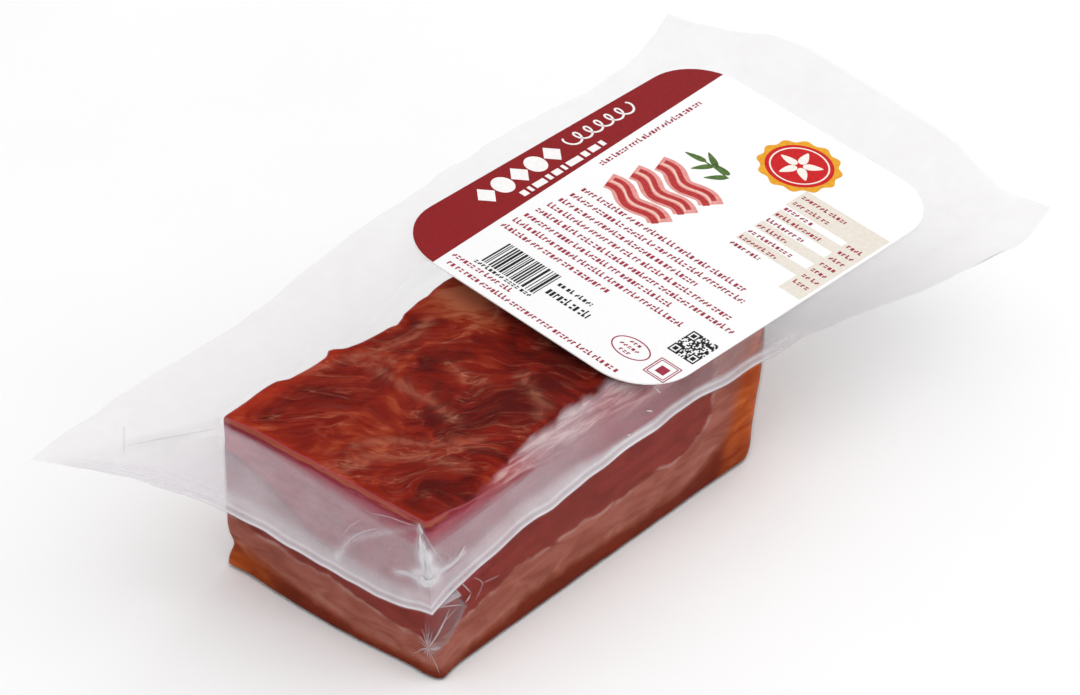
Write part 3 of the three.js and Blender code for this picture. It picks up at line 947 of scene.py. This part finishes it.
# The starburst at the foot of the pinched film: the far end of each ray
STAR_RAYS = [
    (-14.9, 9.0), (-14.5, 11.4), (-14.0, 10.2), (-13.7, 12.8), (-13.2, 10.8), (-12.9, 12.4), (-12.5, 10.0),
    (-12.2, 11.6), (-15.3, 7.6), (-15.2, 5.4), (-16.2, 4.0), (-14.2, 5.0), (-13.4, 4.2), (-12.6, 3.8),
    (-11.9, 5.4), (-10.9, 1.4), (-12.2, 6.6),
]
FOLDS += [("bottom_film", "corner", [STAR, ray], 0.2, 0.32) for ray in STAR_RAYS]


def creased(point):
    """Extra cover and the push outward that the soft creases give a point of the top film."""
    cover, push = 0.0, Vector((0, 0, 0))
    for view, marks, width, milk, height in CREASES:
        right, up, into = SEEN_FROM[view]
        if view == "corner" and (point.dot(into) > 0 or point.z > 35.9):
            continue
        share = bell(distance_to_run(point.dot(right), point.dot(up), marks), width)
        cover += milk * share
        push -= into * (height * share)
    return cover, push


FAR_OUT = 250  # marks are cast onto a film from this far outside it
LONGEST_STEP = 4  # a mark that lands farther than this from the one before has missed its fold


def fold_ridge(film, view, marks, width):
    """A thin ridge that follows the marks over a film and tapers to a point at both ends."""
    right, up, into = SEEN_FROM[view]
    steps = max(4, 3 * len(marks))
    run = smooth_run([(a, b, 0) for a, b in marks], [k / steps for k in range(steps + 1)])
    places, normals = [], []
    for mark in run:
        start = right * mark.x + up * mark.y - into * FAR_OUT
        hit, spot, normal, _ = film.ray_cast(start * MM, into)
        if hit and (not places or (spot / MM - places[-1]).length < LONGEST_STEP):
            places.append(spot / MM)
            normals.append(normal)
    last = len(places) - 1

    def place(u, v):
        k = round(u * last)
        along = (places[min(last, k + 1)] - places[max(0, k - 1)]).normalized()
        side = along.cross(normals[k]).normalized()
        half = 0.5 * width * math.sin(math.pi * clamp(k / last, 0, 1)) ** 0.6
        if k in (0, last):
            half = 0.0
        turn = math.tau * v
        height = 0.03 + 0.6 * half * (1 + math.sin(turn))
        return places[k] + side * (half * math.cos(turn)) + normals[k] * height

    piece = placed_grid("fold", last, 6, place)
    close_seam(piece)
    return piece


def make_folds(material):
    """All the pinched folds and the painted glints as one piece of film."""
    ridges = []
    for film, view, marks, width, share in FOLDS:
        ridge = fold_ridge(bpy.data.objects[film], view, marks, width)
        write_attribute(ridge, "milk", [per_face(share)] * len(ridge.data.vertices))
        ridges.append(ridge)
    folds = join("film_folds", ridges, material, "clear_film")
    smooth(folds, 50)


def per_face(cover):
    """Share of cover for each of the film's two faces."""
    return 1 - math.sqrt(1 - clamp(cover, 0, 0.97))


def finish_film(film, material, covers, upward):
    """Closes a film's skin, turns it outward and gives it its thickness."""
    write_attribute(film, "milk", covers)
    close_seam(film)
    face_way(film, upward)
    modify(film, "SOLIDIFY", thickness=FILM * MM, offset=-1)
    smooth(film, 50)
    finish_piece(film, material, "clear_film", "pack")


def bridged_cover(point, cover):
    """Cover of the top film over the strip along the front, where it bridges and is streaked."""
    streaks = 1 + 0.6 * waves(0.15 * point.x, point.y, 0, 1.4, 7.7)
    milky = front_strip(point.x, point.y) * smoothstep(point.x, -26, -12)
    milky *= 1 - 0.55 * smoothstep(point.x, -5, 5)
    return max(cover, FRONT_STRIP_MILK * streaks * milky)


def make_top_film(material, stations):
    covers = []

    def place(u, v):
        s = stations[round(u * len(stations)) % len(stations)]
        row = round(v * TOP_ROWS)
        point, cover = top_film_point(s, row)
        if row <= TOP_HUGGING:
            cover = bridged_cover(point, cover)
        free = smoothstep(row, TOP_HUGGING, TOP_ROWS - TOP_SEAL - 8)
        free *= 1 - smoothstep(row, TOP_ROWS - TOP_SEAL - 6, TOP_ROWS)
        point.z += lerp(0.3, 0.7, s.flat) * free * waves(*point, lerp(9, 21, s.flat), 4.9)
        extra, push = creased(point)
        point += push
        point.z = min(point.z, film_ceiling(point.x, point.y))
        covers.append(per_face(clamp(cover + extra, 0, 0.95)))
        return point

    film = placed_grid("top_film", len(stations), TOP_ROWS, place)
    finish_film(film, material, covers, upward=True)


# Rows of the bottom film from its middle outward, by the part of it that they shape
UNDER_ROWS, LOW_ROUND_ROWS, SIDE_ROWS, LOW_FREE_ROWS, LOW_SEAL_ROWS = 10, 6, 34, 22, 4
LOW_HUGGING = UNDER_ROWS + LOW_ROUND_ROWS + SIDE_ROWS
LOW_ROWS = LOW_HUGGING + LOW_FREE_ROWS + LOW_SEAL_ROWS
STAR_X = -50.2  # where along x the starburst lies
# Film pinched off the front's left corner: its free edge runs through these x, z marks
WEB_EDGE = [(-46.4, 20.6), (-41.7, 13.8), (-46.1, 9.9), (-49.3, 8.0), (-50.2, 6.9)]
WEB_LEFT, WEB_REACH = -52.6, 2.4


def web_share(x, z):
    """How far the pinched film stands out, 0 at the block's corner and 1 at the free edge."""
    for (ax, az), (bx, bz) in zip(WEB_EDGE, WEB_EDGE[1:]):
        if bz <= z <= az:
            edge_x = lerp(ax, bx, (az - z) / (az - bz))
            if x <= edge_x:
                return clamp((x - WEB_LEFT) / (edge_x - WEB_LEFT))
            return 1 - smoothstep(x, edge_x, edge_x + 0.9)
    return 0.0


def low_film_point(s, row):
    """Place and cover of the bottom film at a station and a row, from the middle outward."""
    round_off = bottom_round_of(s.out)
    if row <= UNDER_ROWS:
        t = row / UNDER_ROWS
        rim = on_block(s.foot, s.out, round_off, 0)
        return Vector((lerp(MIDDLE_X, rim.x, t), lerp(0, rim.y, t), 0)), CLEAR
    row -= UNDER_ROWS
    if row <= LOW_ROUND_ROWS:
        turn = row / LOW_ROUND_ROWS * math.pi / 2
        inset, z = round_off * (1 - math.sin(turn)), round_off * (1 - math.cos(turn))
        return on_block(s.foot, s.out, inset, z), CLEAR
    row -= LOW_ROUND_ROWS
    if row <= SIDE_ROWS:
        z = lerp(round_off, s.root, row / SIDE_ROWS)
        return on_block(s.foot, s.out, 0, z), CLEAR
    row -= SIDE_ROWS
    rows = LOW_FREE_ROWS + LOW_SEAL_ROWS
    out = lerp(0, s.reach, (row / rows) ** 0.9)
    end_z = s.edge.z - SEAL_HALF
    skirt_z = lerp(s.root, end_z, out / s.reach)
    under_sheet = lerp(s.top, s.seal_z, clamp(out / s.reach)) - SHEET_GAP
    sheet_z = lerp(s.root, under_sheet, smoothstep(out, 0, 12))
    z = lerp(skirt_z, lerp(sheet_z, end_z, smoothstep(out, s.reach - 4, s.reach)), s.flat)
    foot = on_block(s.foot, s.out, 0, z)
    x = lerp(foot.x, s.edge.x, out / s.reach)
    y = lerp(foot.y, s.edge.y, out / s.reach)
    cover = lerp(LOW_SKIRT_MILK, SHEET_MILK * 0.6, s.flat) * smoothstep(out, 0, 1.5)
    return Vector((x, y, z)), cover


def make_bottom_film(material, stations):
    covers = []

    def place(u, v):
        s = stations[round(u * len(stations)) % len(stations)]
        row = round(v * LOW_ROWS)
        point, cover = low_film_point(s, row)
        if UNDER_ROWS + 2 < row <= LOW_ROWS - LOW_SEAL_ROWS and s.out.y < -0.2 and point.x < -38:
            web = web_share(point.x, point.z)
            point.y -= WEB_REACH * web
            cover += WEB_MILK * web
            cover += STAR_MILK * bell(math.hypot(point.x - STAR_X, point.z - STAR[1]), 1.3)
        if row > LOW_HUGGING:
            point.z = min(point.z, film_ceiling(point.x, point.y) - LOW_CLEARANCE)
            point.z += 0.5 * s.flat * waves(*point, 21, 4.9)
        covers.append(per_face(cover))
        return point

    film = placed_grid("bottom_film", len(stations), LOW_ROWS, place)
    finish_film(film, material, covers, upward=False)


# The label and its print

def on_label(x, y, lift):
    """A point above the label's plane."""
    return Vector((x, y, label_plane(y) + lift))


def label_outline(inset=0.0, corner_steps=12):
    radius = LABEL_CORNER - inset
    corners = [
        (LABEL_RIGHT - LABEL_CORNER, LABEL_FRONT + LABEL_CORNER, -90),
        (LABEL_RIGHT - LABEL_CORNER, LABEL_BACK - LABEL_CORNER, 0),
        (LABEL_LEFT + LABEL_CORNER, LABEL_BACK - LABEL_CORNER, 90),
        (LABEL_LEFT + LABEL_CORNER, LABEL_FRONT + LABEL_CORNER, 180),
    ]
    outline = []
    for x, y, start in corners:
        for k in range(corner_steps + 1):
            turn = math.radians(start + 90 * k / corner_steps)
            outline.append((x + radius * math.cos(turn), y + radius * math.sin(turn)))
    return outline


def thicken(piece, low, high):
    """Turns a flat skin upward and gives it the thickness between two heights above the plane."""
    face_way(piece, upward=True)
    modify(piece, "SOLIDIFY", thickness=(high - low) * MM, offset=-1)
    return piece


def flat_shape(name, outline, low, high):
    """A filled circle whose points go round an outline, given its thickness."""
    bpy.ops.object.select_all(action="DESELECT")
    bpy.ops.mesh.primitive_circle_add(vertices=len(outline), radius=1, fill_type="NGON")
    piece = bpy.context.object
    piece.name = piece.data.name = name
    turns = sorted(piece.data.vertices, key=lambda v: math.atan2(v.co.y, v.co.x) % math.tau)
    for vertex, (x, y) in zip(turns, outline):
        vertex.co = on_label(x, y, high) * MM
    return thicken(piece, low, high)


def stroke(name, run, width, low, high, closed=False):
    """A ribbon of one width along a run, given its thickness."""
    count = len(run)

    def place(u, v):
        k = round(u * (count - 1))
        before, after = run[max(0, k - 1)], run[min(count - 1, k + 1)]
        if closed and k in (0, count - 1):
            before, after = run[-2], run[1]
        dx, dy = after[0] - before[0], after[1] - before[1]
        length = math.hypot(dx, dy)
        side = (v - 0.5) * width
        return on_label(run[k][0] - dy / length * side, run[k][1] + dx / length * side, high)

    piece = placed_grid(name, count - 1, 1, place)
    if closed:
        close_seam(piece)
    return thicken(piece, low, high)


def cell_print(name, corner, along, up, columns, rows, inked, lift=0.0):
    """A block of small printed cells: a grid whose blank cells are deleted, given its thickness."""
    low, high = LABEL_TOP + lift, LABEL_TOP + lift + PRINT_THICKNESS

    def place(u, v):
        x = corner[0] + along[0] * u + up[0] * v
        y = corner[1] + along[1] * u + up[1] * v
        return on_label(x, y, high)

    piece = placed_grid(name, columns, rows, place)
    bpy.ops.object.mode_set(mode="EDIT")
    bpy.ops.mesh.select_all(action="DESELECT")
    bpy.ops.mesh.select_mode(type="FACE")
    end_edit()
    for index, face in enumerate(piece.data.polygons):
        face.select = not inked(index % columns, index // columns)
    bpy.ops.object.mode_set(mode="EDIT")
    bpy.ops.mesh.delete(type="FACE")
    end_edit()
    return thicken(piece, low, high)


TEXT_CELL = 0.33  # width of one column of a printed mark
TEXT_ROWS = 4

# Rows that each column of a mark fills, from the foot up
MARKS = {
    "block": [(0, 1, 2), (0, 1, 2)],
    "tall": [(0, 1, 2, 3), (0,)],
    "arch": [(0, 1, 2), (2,)],
    "pair": [(0, 2), (0, 2)],
    "step": [(0, 1), (1, 2)],
}


def words(columns):
    """A seeded rule for rows of small marks, grouped as words are, that spell nothing."""
    filled = []
    while len(filled) < columns:
        for _ in range(random.randint(2, 8)):
            filled += [*MARKS[random.choice(sorted(MARKS))], ()]
        filled += [()]
    return lambda column, row: row in filled[column]


def text_row(name, start, end, height, lift=0.0):
    """One row of word-like marks from start to end; the marks' tops face +x."""
    dx, dy = end[0] - start[0], end[1] - start[1]
    length = math.hypot(dx, dy)
    columns = max(6, round(length / TEXT_CELL))
    up = (-dy / length * height, dx / length * height)
    return cell_print(name, start, (dx, dy), up, columns, TEXT_ROWS, words(columns), lift)


def join(name, pieces, material, slot="label_print"):
    """Joins shapes of one material into one piece."""
    bpy.ops.object.select_all(action="DESELECT")
    for piece in pieces:
        piece.select_set(True)
    bpy.context.view_layer.objects.active = pieces[0]
    bpy.ops.object.join()
    joined = bpy.context.object
    joined.name = joined.data.name = name
    finish_piece(joined, material, slot)
    return joined


def box_outline(x0, y0, x1, y1):
    return [(x0, y0), (x1, y0), (x1, y1), (x0, y1)]


def ring_run(x, y, radius_x, radius_y, steps=32):
    return [(x + radius_x * math.cos(math.tau * k / steps), y + radius_y * math.sin(math.tau * k / steps))
            for k in range(steps + 1)]


# Heights of ink on the paper, of ink over that, and of ink over both
INK_LOW, INK_HIGH = LABEL_TOP, LABEL_TOP + PRINT_THICKNESS
OVER_LOW, OVER_HIGH = INK_HIGH, INK_HIGH + PRINT_THICKNESS
LAST_LOW, LAST_HIGH = OVER_HIGH, OVER_HIGH + PRINT_THICKNESS
BAND_LEFT_Y, BAND_RIGHT_Y = 26.0, 30.0  # lower edge of the dark band at the label's two ends


def ink(name, outline):
    return flat_shape(name, outline, INK_LOW, INK_HIGH)


def over_ink(name, outline):
    return flat_shape(name, outline, OVER_LOW, OVER_HIGH)


def make_label(paper):
    label = flat_shape("label_sheet", label_outline(), LABEL_UNDER, LABEL_TOP)
    modify(label, "BEVEL", width=0.08 * MM, segments=2, limit_method="ANGLE", angle_limit=math.radians(40))
    smooth(label, 30)
    finish_piece(label, paper, "label_paper", "label")


def band_shape():
    """The label's own outline cut along a slanted line."""
    band = flat_shape("band", label_outline(0.05), INK_LOW, INK_HIGH)
    edit_all(band)
    slope = (BAND_RIGHT_Y - BAND_LEFT_Y) / (LABEL_RIGHT - LABEL_LEFT)
    way = Vector((slope, -1, 0)).normalized()
    bpy.ops.mesh.bisect(plane_co=Vector((LABEL_LEFT, BAND_LEFT_Y, 0)) * MM, plane_no=way,
                        use_fill=True, clear_outer=True)
    end_edit()
    return band


def row_down(x, y0, y1, height, lift=0.0):
    """A row of marks that runs down the label's y at one x."""
    return text_row("row", (x, y0), (x, y1), height, lift)


def text_block():
    """Eight close rows in the middle of the label, a few loose ones, and the entries of the table."""
    ends = (-22, -24, -14, -26, -29, -15, -21, -4)
    rows = [row_down(50 - 3.1 * k, 22.5 + 0.4 * k, end, 1.7) for k, end in enumerate(ends)]
    rows.append(row_down(13.4, 25, 9, 1.5))
    rows.append(row_down(10.7, 24, -22, 1.5))
    rows.append(text_row("row", (60, 25.2), (93, 25.9), 1.4))
    for k in range(9):
        x = 83.6 - 2.9 * k
        rows.append(row_down(x, -9.4, -21 + 2 * (k % 3), 1.3, PRINT_THICKNESS))
        if k > 1:
            rows.append(row_down(x, -26.2, -30.2, 1.3, PRINT_THICKNESS))
    return rows


def oval_stamp():
    stamp = [stroke("stamp", ring_run(18.9, -18.7, 3.0, 4.4), 0.3, INK_LOW, INK_HIGH, closed=True)]
    for x, longer in ((20.2, -0.6), (18.5, 0.6), (16.8, -0.6)):
        stamp.append(row_down(x, -16.6 + longer, -20.4 - longer, 1.0))
    return stamp


def framed_square():
    square = []
    for margin, width in ((0, 0.25), (0.5, 0.2)):
        run = box_outline(15.6 + margin, -30.0 + margin, 21.4 - margin, -24.8 - margin)
        run.append(run[0])
        square += [stroke("frame", pair, width, INK_LOW, INK_HIGH) for pair in zip(run, run[1:])]
    square.append(ink("square", box_outline(17.2, -28.6, 19.6, -26.4)))
    return square


def make_crimson_print():
    material = ink_material("crimson_ink", "#a8324a", "#982840")
    join("print_crimson", [*text_block(), *oval_stamp(), *framed_square()], material)


CODE_CELLS = 21  # cells along each side of the square code
FINDER = 7  # cells along each side of the ringed squares in three of its corners


def code_cell(column, row):
    """Whether a cell of the square code is inked: ringed squares in three corners, chance elsewhere."""
    for first_column, first_row in ((0, 0), (CODE_CELLS - FINDER, 0), (0, CODE_CELLS - FINDER)):
        c, r = column - first_column, row - first_row
        if 0 <= c < FINDER and 0 <= r < FINDER:
            return max(abs(c - FINDER // 2), abs(r - FINDER // 2)) != 2
    return random.random() < 0.5


def make_black_print():
    """A block of bars of random widths, rows of marks beside it, and a square code."""
    material = ink_material("black_ink", "#1d1b1c", "#121112")
    pieces = []
    y, bars_end = 20.0, 5.4
    while y > bars_end:
        width = random.choice((0.22, 0.22, 0.42, 0.62))
        pieces.append(ink("bar", box_outline(16.8, y - width, 25.4, y)))
        y -= width + random.choice((0.24, 0.3, 0.5))
    pieces.append(row_down(15.4, 20.8, bars_end, 1.2))
    pieces.append(row_down(22.6, 4.5, -4.5, 1.4))
    pieces.append(row_down(18.9, 4.5, -6.5, 2.4))
    pieces.append(cell_print("code", (24.4, -23.4), (8.4, 0), (0, -6.8), CODE_CELLS, CODE_CELLS, code_cell))
    join("print_black", pieces, material)


def make_white_print():
    """Title marks on the dark band: lozenges and discs in a row, a looping flourish, and short bars."""
    material = ink_material("white_ink", "#fbf9f8", "#f3f0ef")
    pieces = []
    for k in range(5):
        corners = 4 if k % 2 == 0 else 28
        outline = ring_run(33.6 + 5.3 * k, 34.0 + 0.2 * k, 2.5, 2.7, corners)[:-1]
        pieces.append(over_ink("title", outline))
    loops, steps = [], 90
    for k in range(steps + 1):
        turn = 0.42 * k
        loops.append((60.5 + 20 * k / steps - 1.3 * math.sin(turn), 35.2 + 1.6 * math.cos(turn)))
    pieces.append(stroke("flourish", loops, 0.5, OVER_LOW, OVER_HIGH))
    x = bars_start = 39.5
    for length in (1.6, 0.9, 3.4, 1.2, 2.2, 0.9, 4.1, 1.6, 2.6, 1.2):
        y = 28.6 + 0.04 * (x - bars_start)
        pieces.append(over_ink("bar", box_outline(x, y, x + length, y + 1.7)))
        x += length + 0.8
    join("print_white", pieces, material)


def wavy_run(start, end, sway, turns, steps=40):
    """A run from start to end that sways to both sides."""
    dx, dy = end[0] - start[0], end[1] - start[1]
    length = math.hypot(dx, dy)
    run = []
    for k in range(steps + 1):
        t = k / steps
        side = sway * math.sin(math.tau * turns * t)
        run.append((start[0] + dx * t - dy / length * side, start[1] + dy * t + dx / length * side))
    return run


def leaf_outline(x, y, length, width, degrees):
    """A pointed oval round a middle, turned by an angle."""
    turn = math.radians(degrees)
    outline = []
    for k in range(16):
        a = math.tau * k / 16
        along, side = length / 2 * math.cos(a), width / 2 * math.sin(a) * (1 - 0.5 * math.cos(a))
        outline.append((x + along * math.cos(turn) - side * math.sin(turn),
                        y + along * math.sin(turn) + side * math.cos(turn)))
    return outline


def make_serving_print():
    """Three wavy rashers side by side, with a sprig of leaves."""
    pink = ink_material("pink_ink", "#e8a39c", "#dd8f88")
    lean = ink_material("rose_ink", "#c03a3a", "#ad2c30")
    cream = ink_material("cream_ink", "#f6d8c8", "#f0ccb8")
    green = ink_material("leaf_green_ink", "#5c7a3a", "#46622c")
    bases, leans, lines = [], [], []
    for k in range(3):
        start, end = (57 + 6.4 * k, 21.0 - 1.5 * k), (54.5 + 6.4 * k, 4.5 - 1.5 * k)
        run = wavy_run(start, end, 0.9, 1.5)
        bases.append(stroke("rasher", run, 5.4, INK_LOW, INK_HIGH))
        for offset, width in ((-1.3, 1.5), (1.2, 1.1)):
            shifted = [(x + offset, y) for x, y in run[1:-1]]
            leans.append(stroke("lean", shifted, width, OVER_LOW, OVER_HIGH))
        lines.append(stroke("fat", [(x + 0.1, y) for x, y in run[1:-1]], 0.35, OVER_LOW, OVER_HIGH))
    join("print_pink", bases, pink)
    join("print_rose", leans, lean)
    join("print_cream", lines, cream)
    leaves = []
    places = ((77.5, 14.5, 100), (79.5, 11.5, 60), (75.8, 11.2, 150), (78.3, 8.2, 85), (75.2, 7.0, 140))
    for x, y, turn in places:
        leaves.append(ink("leaf", leaf_outline(x, y, 5.2, 1.5, turn)))
    leaves.append(stroke("stem", [(77, 5), (77.6, 9), (77.8, 13)], 0.35, OVER_LOW, OVER_HIGH))
    join("print_green", leaves, green)


def make_seal_print():
    """A round scalloped seal with a ring and five petals."""
    yellow = ink_material("golden_ink", "#f0ae28", "#e29a1c")
    red = ink_material("scarlet_ink", "#d5161c", "#c20f16")
    white = ink_material("pale_seal_ink", "#fdf6ee", "#f6ece0")
    x, y = 92.0, -2.0
    scallops = []
    for k in range(96):
        turn = math.tau * k / 96
        radius = 8.8 + 0.45 * math.cos(12 * turn)
        scallops.append((x + radius * math.cos(turn), y + radius * math.sin(turn)))
    join("print_golden", [ink("scallops", scallops)], yellow)
    disc = ring_run(x, y, 7.4, 7.4, 48)[:-1]
    join("print_scarlet", [over_ink("disc", disc)], red)
    marks = [stroke("seal_ring", ring_run(x, y, 6.3, 6.3, 48), 0.35, LAST_LOW, LAST_HIGH, closed=True)]
    for k in range(5):
        turn = 72 * k + 18
        centre = (x + 2.9 * math.cos(math.radians(turn)), y + 2.9 * math.sin(math.radians(turn)))
        marks.append(flat_shape("petal", leaf_outline(*centre, 4.4, 1.9, turn), LAST_LOW, LAST_HIGH))
    join("print_pale_seal", marks, white)


# Tinted fields of the table: left, near, right and far edges
TABLE_FIELDS = [
    (79.4, -31.0, 86.4, -8.6), (57.0, -31.0, 79.4, -25.4), (74.4, -25.4, 77.4, -9.0),
    (68.6, -25.4, 71.6, -9.0), (62.8, -25.4, 65.8, -9.0),
]


def make_print():
    band_ink = ink_material("dark_red_ink", "#90141a", "#861117")
    join("print_band", [band_shape()], band_ink)
    beige = ink_material("beige_ink", "#ece5da", "#e6ddd0")
    join("print_beige", [ink("field", box_outline(*field)) for field in TABLE_FIELDS], beige)
    make_crimson_print()
    make_black_print()
    make_white_print()
    make_serving_print()
    make_seal_print()


# Studio

TARGET = Vector((29.36, 15.23, 18.12))  # the point that the camera and every lamp look at
CAMERA_TURN, CAMERA_RISE, CAMERA_DISTANCE = -47.91, 33.94, 969.19
LENS, SENSOR = 155.67, 36.0
FLOOR_SIZE, FLOOR_DROP = 8, 0.0001  # in metres

# Lamps: name, azimuth and elevation, distance and size in metres, power in watts
LAMPS = [
    ("key_light", -62, 66, 1.6, 1.3, 6.5),
    ("fill_light", 50, 36, 1.8, 1.8, 7.8),
    ("side_light", 100, 15, 1.8, 1.2, 6.5),
    ("back_light", 205, 60, 1.8, 1.5, 2.5),
]
ROOM_LIGHT = 0.62  # strength of the white light from all round


def make_floor():
    bpy.ops.object.select_all(action="DESELECT")
    bpy.ops.mesh.primitive_grid_add(x_subdivisions=20, y_subdivisions=20, size=FLOOR_SIZE,
                                    location=(0, 0, -FLOOR_DROP))
    floor = bpy.context.object
    floor.name = floor.data.name = "studio_floor"
    floor.data.materials.append(floor_material())


def look_from(turn, rise):
    """Unit vector toward a viewer at an azimuth and elevation in degrees."""
    a, e = math.radians(turn), math.radians(rise)
    return Vector((math.sin(a) * math.cos(e), -math.cos(a) * math.cos(e), math.sin(e)))


def aimed(back):
    """Rotation of a camera or lamp that looks against the given way."""
    right = Vector((0, 0, 1)).cross(back).normalized()
    up = back.cross(right)
    return Matrix((right, up, back)).transposed().to_4x4()


def make_camera():
    data = bpy.data.cameras.new("photo_camera")
    data.lens, data.sensor_width, data.sensor_fit = LENS, SENSOR, "HORIZONTAL"
    data.clip_start, data.clip_end = 0.01, 50
    camera = bpy.data.objects.new("photo_camera", data)
    bpy.context.scene.collection.objects.link(camera)
    back = look_from(CAMERA_TURN, CAMERA_RISE)
    camera.matrix_world = Matrix.Translation((TARGET + back * CAMERA_DISTANCE) * MM) @ aimed(back)
    bpy.context.scene.camera = camera


def make_lamp(name, turn, rise, distance, size, power):
    """A round soft lamp that looks at the target."""
    data = bpy.data.lights.new(name, "AREA")
    data.shape, data.size, data.energy = "DISK", size, power
    lamp = bpy.data.objects.new(name, data)
    bpy.context.scene.collection.objects.link(lamp)
    back = look_from(turn, rise)
    lamp.matrix_world = Matrix.Translation(TARGET * MM + back * distance) @ aimed(back)


def make_light():
    world = bpy.data.worlds.new("white_studio")
    world.use_nodes = True
    background = world.node_tree.nodes["Background"]
    background.inputs["Color"].default_value = (1.0, 1.0, 1.0, 1.0)
    background.inputs["Strength"].default_value = ROOM_LIGHT
    bpy.context.scene.world = world
    for lamp in LAMPS:
        make_lamp(*lamp)
    bpy.context.scene.view_settings.view_transform = "Standard"


make_camera()
make_light()
make_floor()
edge_run = edge_stations()
film = film_material()
make_bacon(bacon_material())
make_bottom_film(film, edge_run)
make_top_film(film, edge_run)
make_folds(film)
make_label(paper_material())
make_print()
